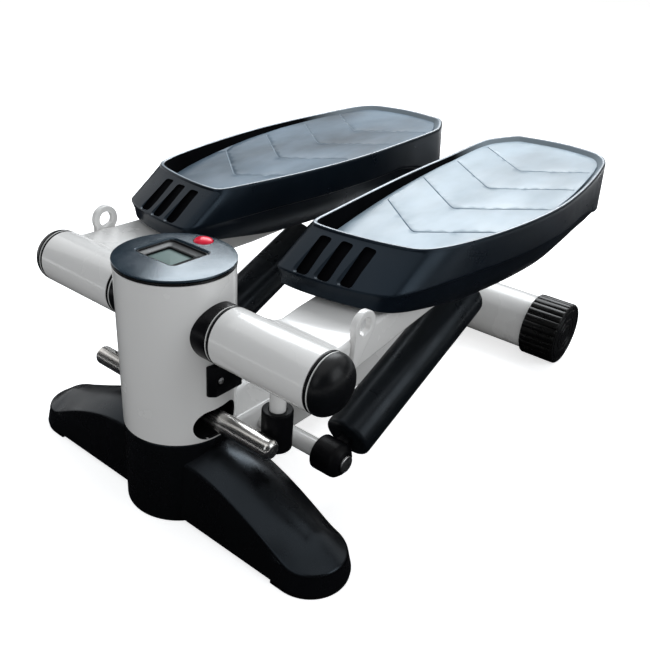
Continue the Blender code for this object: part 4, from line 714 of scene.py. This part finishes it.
def damper(side, sign):
    """Lower eye on the spindle, with its stem, and the oil tube."""
    at = (sign * DAMPER_X, DAMPER_Y, DAMPER_Z)
    down = along(at, DAMPER_AXIS)
    bore, bevel = SPINDLE_R + GAP, 1.2 * MM
    barrel = turned([
        (bore, -LOWER_EYE_IN), (LOWER_EYE_R - bevel, -LOWER_EYE_IN, 0.8),
        (LOWER_EYE_R, bevel - LOWER_EYE_IN, 1), (LOWER_EYE_R, LOWER_EYE_OUT - LOWER_EYE_CONE, 2),
        (LOWER_EYE_R - LOWER_EYE_CONE, LOWER_EYE_OUT, 2), (bore, LOWER_EYE_OUT, 0.4)],
        along(at, X * sign), closed=True)
    stem = pipe(0, *mm(5, 9, 23.2), down, steps=48)
    piece("damper_eye_form_" + side, joined([barrel, stem]), SLEEVE, "damper_eye_" + side, side + "_damper",
          "black_plastic")
    mouth, seat, inside_r = ROD_R + GAP, 5.3 * MM, 15 * MM
    tube = turned([
        (seat, DAMPER_FROM), (DAMPER_R, DAMPER_FROM, 3.4), (DAMPER_R, DAMPER_TO, 6),
        (mouth, DAMPER_TO, 0.6), (mouth, DAMPER_TO - 12 * MM), (inside_r, DAMPER_TO - 12 * MM),
        (inside_r, DAMPER_FROM + 6 * MM), (seat, DAMPER_FROM + 6 * MM)], down, closed=True)
    piece("damper_tube_form_" + side, tube, DAMPER, "damper_tube_" + side, side + "_damper")


def crossbar():
    """Tube across the beam and the long spindle through it, with a head at each end."""
    place = along((0, DAMPER_Y, DAMPER_Z), X)
    end = DAMPER_X - LOWER_EYE_IN - GAP
    tube = pipe(SPINDLE_R + GAP, CROSSBAR_R, -end, end, place, 0.6, steps=72)
    piece("crossbar_form", tube, WHITE, "damper_crossbar")
    seat = DAMPER_X + LOWER_EYE_OUT + GAP
    tip = DAMPER_X + LOWER_EYE_OUT + SPINDLE_PROUD
    half = [(SPINDLE_R, seat, 0), (SPINDLE_HEAD_R, seat, 0.3), (SPINDLE_HEAD_R, tip, 0.9), (0, tip, 0)]
    pin = turned([(r, -x, soft) for r, x, soft in reversed(half)] + half, place, 72)
    piece("spindle_form", pin, ZINC, "damper_spindle")


# Trays and mats

OUTLINE_KNOTS = (
    ((-0.592, -1.003), (-0.320, -1.020), (-0.656, -0.999)),
    ((-0.712, -0.933), (-0.688, -0.983), (-0.760, -0.773)),
    ((-0.973, 0.227), (-0.973, -0.253), (-0.973, 0.513)),
    ((-0.971, 0.773), (-1.003, 0.660), (-0.947, 0.833)),
    ((-0.663, 0.988), (-0.743, 0.978), (-0.423, 1.001)),
    ((0.089, 1.014), (-0.231, 1.024), (0.361, 0.996)),
    ((0.571, 0.959), (0.499, 0.982), (0.659, 0.932)),
    ((0.775, 0.801), (0.751, 0.854), (0.863, 0.654)),
    ((1.011, 0.047), (1.005, 0.313), (1.008, -0.253)),
    ((0.696, -0.813), (0.848, -0.653), (0.632, -0.880)),
    ((0.464, -0.937), (0.576, -0.920), (0.256, -0.973)),
)


def tray_outline(sign, span_steps=14):
    """Plan of the rim as (x, s) points about the tray's middle line."""
    points = []
    for i, (start, _, leave) in enumerate(OUTLINE_KNOTS):
        end, arrive, _ = OUTLINE_KNOTS[(i + 1) % len(OUTLINE_KNOTS)]
        knots = [Vector((x, y, 0)) for x, y in (start, leave, arrive, end)]
        points += [(sign * point.x * TRAY_HALF_WIDTH, TRAY_MID + point.y * TRAY_HALF_LENGTH)
                   for point in interpolate_bezier(*knots, span_steps + 1)[:-1]]
    return points


def rim_h(s):
    return RIM_MID_H + RIM_RISE * ((s - TRAY_MID) / TRAY_HALF_LENGTH) ** 2


def mat_h(s):
    share = min(max((s - RIM_TOE) / (RIM_HEEL - RIM_TOE), 0), 1)
    return MAT_TOE_H + (MAT_HEEL_H - MAT_TOE_H) * (1 - (1 - share) ** 1.6)


def toe_weight(s):
    return 1 - smooth_step(s, RIM_TOE, RIM_TOE + 60 * MM)


def band_depth(s):
    deeper = smooth_step(s, RIM_HEEL - 103 * MM, RIM_HEEL - 6 * MM)
    return BAND_DEPTH - TOE_TRIM * toe_weight(s) + 20 * MM * deeper


def belly_depth(s):
    return BELLY_DEPTH + (LIP_DEPTH - BELLY_DEPTH) * toe_weight(s)


def inset_point(point, inset):
    """A point of the plan drawn inwards, or outwards where the inset is negative."""
    x = point[0] * (TRAY_HALF_WIDTH - inset) / TRAY_HALF_WIDTH
    return x, TRAY_MID + (point[1] - TRAY_MID) * (TRAY_HALF_LENGTH - inset) / TRAY_HALF_LENGTH


def tray_ring(outline, inset, height, reach=0.0, toe_inset=None):
    ring = []
    for point in outline:
        toe = toe_weight(point[1])
        drawn = inset if toe_inset is None else inset + (toe_inset - inset) * toe
        x, s = inset_point(point, drawn)
        ring.append((x, s - reach * toe, height(point[1])))
    return ring


def tray_matrix(sign):
    return DECK @ Matrix.Translation((sign * TRAY_X, 0, 0))


def between(first, second, share):
    return [tuple(a + (b - a) * share for a, b in zip(p, q)) for p, q in zip(first, second)]


def below(depth, more=0.0):
    """Height at a varying depth below the rim, and some mm more."""
    return lambda s: rim_h(s) - depth(s) - more * MM


def tray(side, sign):
    """Tray as one skin: the wall inside, over the rim, down the band, under the belly and back up."""
    ring = partial(tray_ring, tray_outline(sign))
    rings = [ring(MAT_INSET + 6 * MM, lambda s: mat_h(s) - 2.2 * MM),
             ring(MAT_INSET - GAP, lambda s: mat_h(s) - 1.4 * MM)]
    for inset, drop in ((3.9, 2.2), (3.5, 1.2), (3.1, 0.55), (2.6, 0.15), (2.1, 0), (1.6, 0), (1.1, 0.12),
                        (0.6, 0.45), (0.2, 1.0), (0, 1.8)):
        rings.append(ring(inset * MM, lambda s: max(rim_h(s) - drop * MM, mat_h(s) - 1.2 * MM)))
    top = ring(0, lambda s: rim_h(s) - 1.8 * MM)
    edge = ring(-1.5 * MM, below(band_depth, -1), TOE_REACH * 0.985)
    rings += [between(top, edge, share) for share in (0.06, 0.2, 0.4, 0.6, 0.8, 0.95)] + [edge]
    rings += [ring(inset * MM, below(band_depth, more), TOE_REACH, toe * MM)
              for inset, more, toe in ((-1.3, 0, -1.5), (-0.5, 0.7, -1.4), (1, 1.3, -1.2))]
    middle = ring(BELLY_INSET / 3, below(lambda s: (band_depth(s) + belly_depth(s)) / 2), TOE_REACH, 0)
    low, inner = [ring(BELLY_INSET + wall, below(belly_depth, -0.6), TOE_REACH, wall)
                  for wall in (0, TRAY_WALL)]
    rings += [between(rings[-1], middle, 0.5), middle, between(middle, low, 0.5), low]
    rings += [ring(BELLY_INSET + inset * MM, below(belly_depth), TOE_REACH, inset * MM)
              for inset in (0.6, 2.6)]
    rings += [inner, ring(BELLY_INSET + TRAY_WALL + 1 * MM, lambda s: mat_h(s) - 2 * MAT_T)]
    # The inner wall's bands take the near-black inside finish, painted shade that turns to painted light at
    # the heel; the rim's inner top edge takes the lighter band, a painted highlight.
    bm = banded(rings, (1, 1, 1, 1, 2, 2, 2, 2))
    bmesh.ops.triangulate(bm, faces=[face for face in bm.faces if len(face.verts) > 4])
    body = to_mesh(bm, tray_matrix(sign))
    for made in (TRAY, INSIDE_SHADE_AND_LIGHT, RIM_HIGHLIGHT):
        body.materials.append(made)
    mesh = sharpened(applied(body, toe_slots(sign)), 28)
    piece("tray_form_" + side, mesh, (), "tray_" + side, side + "_arm", "tray_plastic")


def toe_edge_s(outline, x, span=14):
    """Where the rim's toe edge crosses x; the outline's last span is that edge."""
    toe = outline[-span - 1:] + outline[:1]
    for (x0, s0), (x1, s1) in zip(toe, toe[1:]):
        if min(x0, x1) <= x <= max(x0, x1):
            return s0 + (s1 - s0) * (x - x0) / (x1 - x0)
    return RIM_TOE


def slot_places(sign):
    """Where the three slots lie on the sloped toe band."""
    band = BAND_DEPTH - TOE_TRIM
    lean = Matrix.Rotation(pi / 2 - atan2(TOE_REACH, band), 4, "X")
    places = []
    for k in (-1, 0, 1):
        x = k * SLOT_PITCH - sign * SLOT_OFFSET
        s = toe_edge_s(tray_outline(sign), x) - SLOT_SHARE * TOE_REACH
        place = Matrix.Translation((x, s, rim_h(RIM_TOE) - SLOT_SHARE * band))
        places.append(tray_matrix(sign) @ place @ lean)
    return places


def toe_slots(sign):
    """Blades with round ends, flared at the mouth for a chamfer that catches the light."""
    levels = [(grow, z, 2.2 + grow) for grow, z in (
        (-0.6, -SLOT_DEPTH), (0, 0.6 * MM - SLOT_DEPTH), (0, -0.5 * MM), (0.5, 0), (1.5, 1 * MM),
        (1.5, 4 * MM))]
    rings = box_rings((0, 0), [size / 2 for size in TOE_SLOT], levels, 5)
    blades = []
    for place in slot_places(sign):
        # The slots' bottoms and lower walls take the near-black inside finish: painted shade.
        blade = to_mesh(banded(rings, (1, 1)), place)
        blade.materials.append(TRAY)
        blade.materials.append(INSIDE_SHADE_AND_LIGHT)
        blades.append(blade)
    return blades


def groove_lines(outline):
    """Chains of (x, s, depth) points along each chevron's two edges and its bottom, inside the outline."""
    reach, steps = TRAY_HALF_WIDTH * 0.93, 24
    for apex in GROOVE_AT:
        for offset, depth in ((-GROOVE_HALF, 0), (0, GROOVE_DEEP), (GROOVE_HALF, 0)):
            chain = []
            for i in range(-steps, steps + 1):
                x = reach * i / steps
                s = apex + groove_rise(x) + offset * GROOVE_WIDEN
                if inside(outline, x, s, 1.6 * MM):
                    chain.append((x, s, depth))
                elif chain:
                    yield chain
                    chain = []
            if chain:
                yield chain


def mat(side, sign):
    """Mat with chevron grooves: its top is a fine mesh that follows the grooves' edges."""
    outline = [inset_point(p, MAT_INSET + 0.7 * MM) for p in tray_outline(sign, 6)]
    points = [Vector(p) for p in outline]
    border = list(range(len(points)))
    edges = [(i, (i + 1) % len(border)) for i in border]
    depths = {}
    for chain in groove_lines(outline):
        edges += [(len(points) + i, len(points) + i + 1) for i in range(len(chain) - 1)]
        for x, s, depth in chain:
            points.append(Vector((x, s)))
            depths[(round(x, 5), round(s, 5))] = depth
    pitch, columns, rows = 5 * MM, 13, 62
    for i in range(-columns, columns + 1):
        for j in range(rows):
            x, s = i * pitch + (pitch / 2 if j % 2 else 0), RIM_TOE + j * pitch
            if inside(outline, x, s, 2.5 * MM) and groove_distance(x, s) > 2.2 * MM:
                points.append(Vector((x, s)))
    verts, _, faces, _, _, _ = delaunay_2d_cdt(points, edges, [border], 1, 1e-6)
    bm = bmesh.new()
    made = []
    for v in verts:
        dip = depths.get((round(v.x, 5), round(v.y, 5)), 0)
        made.append(bm.verts.new((v.x, v.y, mat_h(v.y) + panel_swell(v.x, v.y) - dip)))
    for face in faces:
        middle = sum((Vector(verts[i]) for i in face), Vector((0, 0))) / len(face)
        # Groove faces take the groove finish: on the near mat darker, painted shade; on the far mat lighter,
        # a painted highlight.
        grooved = groove_distance(middle.x, middle.y) < GROOVE_HALF * 1.2
        bm.faces.new([made[i] for i in face]).material_index = 1 if grooved else 0
    lower = loop = ordered_loop([v for v in made if any(e.is_boundary for e in v.link_edges)])
    for grow, drop in ((0.35, 0.12), (0.6, 0.4), (0.7, 0.8), (0.7, 3.0)):
        ring = [bm.verts.new(grown(v.co, grow * MM, drop * MM)) for v in loop]
        for i in range(len(loop)):
            j = (i + 1) % len(loop)
            bm.faces.new((lower[i], lower[j], ring[j], ring[i]))
        lower = ring
    mesh = to_mesh(bm, tray_matrix(sign), 40)
    piece("tray_mat_form_" + side, mesh, MATS_WITH_PAINTED_LIGHT_AND_SHADE[side], "tray_mat_" + side, side + "_arm", "mat_rubber")


def inside(outline, x, s, margin):
    """Whether a point lies inside an outline, at least a margin from its edge."""
    crossed = False
    for i, (ax, ay) in enumerate(outline):
        bx, by = outline[i - 1]
        if (ay > s) != (by > s) and x < (bx - ax) * (s - ay) / (by - ay) + ax:
            crossed = not crossed
        span = Vector((bx - ax, by - ay))
        t = min(max(Vector((x - ax, s - ay)).dot(span) / max(span.length_squared, 1e-12), 0), 1)
        if (Vector((ax, ay)) + span * t - Vector((x, s))).length < margin:
            return False
    return crossed


def groove_rise(x):
    """How far a chevron has run towards the heel at this x: straight arms from a small round apex."""
    return GROOVE_SLOPE * (hypot(x, APEX_R) - APEX_R)


def groove_distance(x, s):
    return min(abs(s - apex - groove_rise(x)) for apex in GROOVE_AT)


def panel_swell(x, s):
    """Each panel between two grooves is a little proud in its middle."""
    return 0.35 * MM * smooth_step(groove_distance(x, s), 0, 14 * MM)


def ordered_loop(rim):
    """Boundary vertices in order round the mat."""
    loop = [rim[0]]
    while True:
        ahead = [e.other_vert(loop[-1]) for e in loop[-1].link_edges if e.is_boundary]
        ahead = [v for v in ahead if v not in loop]
        if not ahead:
            return loop
        loop.append(ahead[0])


def grown(co, grow, drop):
    """A point of the mat's edge moved outwards and down."""
    x = co.x * (1 + grow / TRAY_HALF_WIDTH)
    s = TRAY_MID + (co.y - TRAY_MID) * (1 + grow / TRAY_HALF_LENGTH)
    return x, s, co.z - drop


# Counter

def counter():
    """Cover with its window and the button's well, the ring below it, the bezel and the button."""
    under, base = COVER_TOP - COVER_T, COVER_TOP - COVER_DOME
    profile = dome_profile(COVER_R, base, COVER_DOME)[:-1] + [
        (COVER_R - 0.1 * MM, base - 0.3 * MM, 0.4), (COVER_R - 0.2 * MM, under + 0.6 * MM, 0.4),
        (COVER_R - 0.9 * MM, under, 0.3), (SKIRT_R, under), (SKIRT_R, SKIRT_BOTTOM, 0.5),
        (SKIRT_R - 2 * MM, SKIRT_BOTTOM, 0.5), (SKIRT_R - 2 * MM, under - 1 * MM), (0, under - 1 * MM)]
    cover = turned(profile, UPRIGHT, 160)
    low = under - 3 * MM
    levels = [(0, low, 3.5)] + [(grow, COVER_TOP + up * MM, 3.5 + grow)
                                for grow, up in ((0, -1.4), (0.25, -0.95), (0.7, -0.5), (1.6, 0.4))]
    window = lofted(box_rings(WINDOW_AT, [size / 2 for size in WINDOW], levels))
    button_place = along((*BUTTON_AT, 0), Z)
    well = pipe(0, BUTTON_R + GAP, low, COVER_TOP + 2 * MM, button_place, steps=64)
    piece("cover_form", applied(cover, [window, well]), COVER, "counter_cover")
    low = COLUMN_TOP + GAP
    ring = pipe(SKIRT_R + GAP, COVER_R - 0.3 * MM, low, low + RING_T, UPRIGHT, 0.5, steps=160)
    piece("cover_ring_form", ring, RUBBER, "cover_ring")
    bezel()
    foot = COVER_TOP - 4 * MM
    profile = dome_profile(BUTTON_R, base, BUTTON_PROUD) + [(BUTTON_R, foot), (0, foot)]
    piece("button_form", turned(profile, button_place, 64), RED, "reset_button", "button")


def bezel():
    """Two stepped ledges with soft edges, down to the display, and the display's panel."""
    half = [size / 2 - GAP for size in WINDOW]
    view = [size / 2 - 1 * MM for size in LCD_SIZE]
    top = COVER_TOP - COVER_DOME - GAP
    low = top - 3 * MM
    outside = [(0, low, 3.2)] + [(-inset, top - down * MM, soft) for inset, down, soft in (
        (0, 0.5, 3.2), (0.25, 0.1, 3), (0.7, 0, 2.7), (1.0, 0.3, 2.5), (1.2, 1.1, 2.4), (1.8, 1.4, 2.0))]
    within = [(grow, top - down * MM, soft) for grow, down, soft in (
        (1.2, 1.5, 2.2), (0.7, 1.6, 2), (0.2, 2, 1.6))] + [(0, low, 1.4)]
    rings = box_rings(WINDOW_AT, half, outside) + box_rings(LCD_AT, view, within)
    piece("bezel_form", lofted(rings, closed=True), BLACK, "display_bezel")
    levels = ((0, BOARD_TOP + GAP, 0.8), (0, low - GAP - 0.2 * MM, 0.8), (-0.2, low - GAP, 0.8))
    panel = lofted(box_rings(LCD_AT, [size / 2 for size in LCD_SIZE], levels))
    piece("lcd_form", panel, LCD, "lcd_panel")


# Speed sensor

def sensor():
    """Speed sensor's housing on the side of the column, and its cross-head screw."""
    (y0, y1), (z0, z1) = HOUSING_Y, HOUSING_Z
    outline = rounded([
        (HOUSING_ROOT, y0 - HOUSING_CHAMFER), (HOUSING_X - HOUSING_CHAMFER, y0 - HOUSING_CHAMFER, 0.8),
        (HOUSING_X, y0, 0.8), (HOUSING_X, y1, 1.2), (HOUSING_ROOT, y1)], True)
    middle, size = (y0 + y1) / 2, 13 * MM
    rings = []
    for inset, z in ((0.7, z0), (0.2, z0 + 0.2 * MM), (0, z0 + 0.7 * MM), (0, z1 - 0.7 * MM),
                     (0.2, z1 - 0.2 * MM), (0.7, z1)):
        shrink = 1 - inset * MM / size
        rings.append([(HOUSING_ROOT + (x - HOUSING_ROOT) * shrink, middle + (y - middle) * shrink, z)
                      for x, y in outline])
    piece("sensor_form", lofted(rings), SLEEVE, "sensor_housing", slot="black_plastic")
    place = along((HOUSING_X + GAP, *SCREW_AT), X)
    profile = [(*mm(r, h), soft) for r, h, soft in (
        (0, 1.2, 0), (1.2, 1.15, 0.4), (2.2, 0.5, 0.4), (2.2, 0, 0), (0, 0, 0))]
    recesses = [lofted(box_rings((0, 0), half, [(0, z, 0.1) for z in mm(0.5, 2)], 2), place)
                for half in (mm(0.32, 1.5), mm(1.5, 0.32))]
    piece("sensor_screw_form", applied(turned(profile, place, 40), recesses), ZINC, "sensor_screw")


# Nodes that stay as the model has them

KEPT = {
    "foot_bolt": ZINC, "pivot_axle": ZINC, "rocker_pin": ZINC, "rocker_shelf": DARK_INSIDE, "circuit_board": BOARD,
    "button_cell": ZINC, "sensor_lead": RUBBER,
}
for side, _ in SIDES:
    for name in ("axle_nut_", "tray_bolt_front_", "tray_bolt_rear_", "damper_pin_"):
        KEPT[name + side] = ZINC
    KEPT["piston_rod_" + side] = ROD


def dress_kept():
    """Gives the nodes that no piece stands for their finishes."""
    for name, material in KEPT.items():
        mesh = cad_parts[name].data
        mesh.materials.clear()
        mesh.materials.append(material)


# Studio: lamps as (name, place, size, power), dark walls as (first turn, last turn, height)

LAMPS = (
    ("key", (-0.55, 1.0, 1.25), (1.5, 1.0), 26),
    ("side", (1.5, 0.35, 0.75), (0.9, 0.9), 6),
    ("front", (0.3, -1.7, 1.0), (1.2, 0.8), 3),
)
DARK_WALLS = ((128, 168, 2.4), (208, 408, 2.4), (48, 128, 0.7))
WALL_R, CLOTH_R = 2.2, 1.1


def emptied(owner):
    """A world's or a material's node tree, without its nodes."""
    owner.use_nodes = True
    owner.node_tree.nodes.clear()
    return owner.node_tree


def studio():
    """White surroundings, a floor that is white to the camera and grey to the light, and three lamps."""
    scene = bpy.context.scene
    scene.view_settings.view_transform = "Standard"
    scene.world = bpy.data.worlds.new("studio")
    tree = emptied(scene.world)
    seen = node(tree, "Background", Color=(1, 1, 1, 1), Strength=1.0)
    lit = node(tree, "Background", Color=(0.94, 0.97, 1.0, 1), Strength=0.50)
    mixed(tree, lit, seen, "OutputWorld")
    bpy.ops.mesh.primitive_plane_add(size=12)
    floor = bpy.context.object
    floor.name = "floor"
    material = bpy.data.materials.new("floor")
    tree = emptied(material)
    plain = node(tree, "BsdfDiffuse", Color=(0.42, 0.41, 0.40, 1))
    pale = node(tree, "BsdfDiffuse", Color=(0.9, 0.9, 0.9, 1))
    glow = node(tree, "Emission", Color=(1, 1, 1, 1), Strength=0.68)
    both = node(tree, "AddShader", pale.outputs[0], glow.outputs[0])
    mixed(tree, plain, both, "OutputMaterial")
    floor.data.materials.append(material)
    dark_room()
    for name, at, size, power in LAMPS:
        lamp(name, at, size, power)


def dark_room():
    """Dark walls round the object and a dark cloth below it, which only reflections see."""
    card = {"Base Color": (0.02, 0.02, 0.022, 1), "Roughness": 1.0, "Specular IOR Level": 0.0}
    material, _, _ = principled("dark_card", card)
    walls, cloth = bmesh.new(), bmesh.new()
    for first, last, top in DARK_WALLS:
        turns = [radians(a) for a in range(first, last + 1, 8)]
        feet, heads = [[walls.verts.new(on_circle(WALL_R, a, z)) for a in turns] for z in (0.01, top)]
        for i in range(len(turns) - 1):
            walls.faces.new((feet[i], feet[i + 1], heads[i + 1], heads[i]))
    cloth.faces.new([cloth.verts.new(on_circle(CLOTH_R, 2 * pi * k / 48, 0.0004)) for k in range(48)])
    for name, bm in (("dark_wall", walls), ("dark_cloth", cloth)):
        obj = placed(name, meshed(bm))
        obj.data.materials.append(material)
        obj.visible_camera = obj.visible_diffuse = obj.visible_shadow = obj.visible_transmission = False


def on_circle(radius, turn, z):
    return radius * cos(turn), radius * sin(turn), z


def mixed(tree, base, shown, output):
    """Shows one shader to camera, glossy and transmission rays and the other to the rest."""
    path = node(tree, "LightPath")
    share = path.outputs["Is Camera Ray"]
    for ray in ("Is Glossy Ray", "Is Transmission Ray"):
        share = node(tree, "Math", share, path.outputs[ray], operation="MAXIMUM").outputs[0]
    node(tree, output, node(tree, "MixShader", share, base.outputs[0], shown.outputs[0]).outputs[0])


def lamp(name, at, size, power):
    """A lamp that faces a point a little above the floor."""
    data = bpy.data.lights.new(name, "AREA")
    data.shape = "RECTANGLE"
    data.size, data.size_y = size
    data.energy = power
    data.color = (0.93, 0.97, 1.0)
    obj = placed(name, data)
    obj.location = at
    obj.rotation_euler = (Vector((0, 0, 0.1)) - Vector(at)).to_track_quat("-Z", "Y").to_euler()


def camera():
    """The photo's camera."""
    data = bpy.data.cameras.new("camera")
    data.sensor_width = SENSOR
    data.lens = FOCAL_LENGTH / PHOTO_SIZE * SENSOR
    data.shift_x = (PHOTO_SIZE / 2 - PHOTO_CENTRE[0]) / PHOTO_SIZE
    data.shift_y = (PHOTO_CENTRE[1] - PHOTO_SIZE / 2) / PHOTO_SIZE
    data.clip_start = 0.01
    obj = placed("camera", data)
    turns = ((AZIMUTH, "Z"), (pi / 2 - ELEVATION, "X"), (ROLL, "Z"))
    first, second, third = [Matrix.Rotation(turn, 4, axis) for turn, axis in turns]
    obj.matrix_world = Matrix.Translation(CAMERA_AT) @ first @ second @ third
    bpy.context.scene.camera = obj


studio()
camera()
column()
beam_and_rear()
front_foot()
axle_seats()
rocker_bar()
crossbar()
counter()
sensor()
for side, sign in SIDES:
    arm(side, sign)
    arm_fittings(side, sign)
    damper(side, sign)
    tray(side, sign)
    mat(side, sign)
dress_kept()
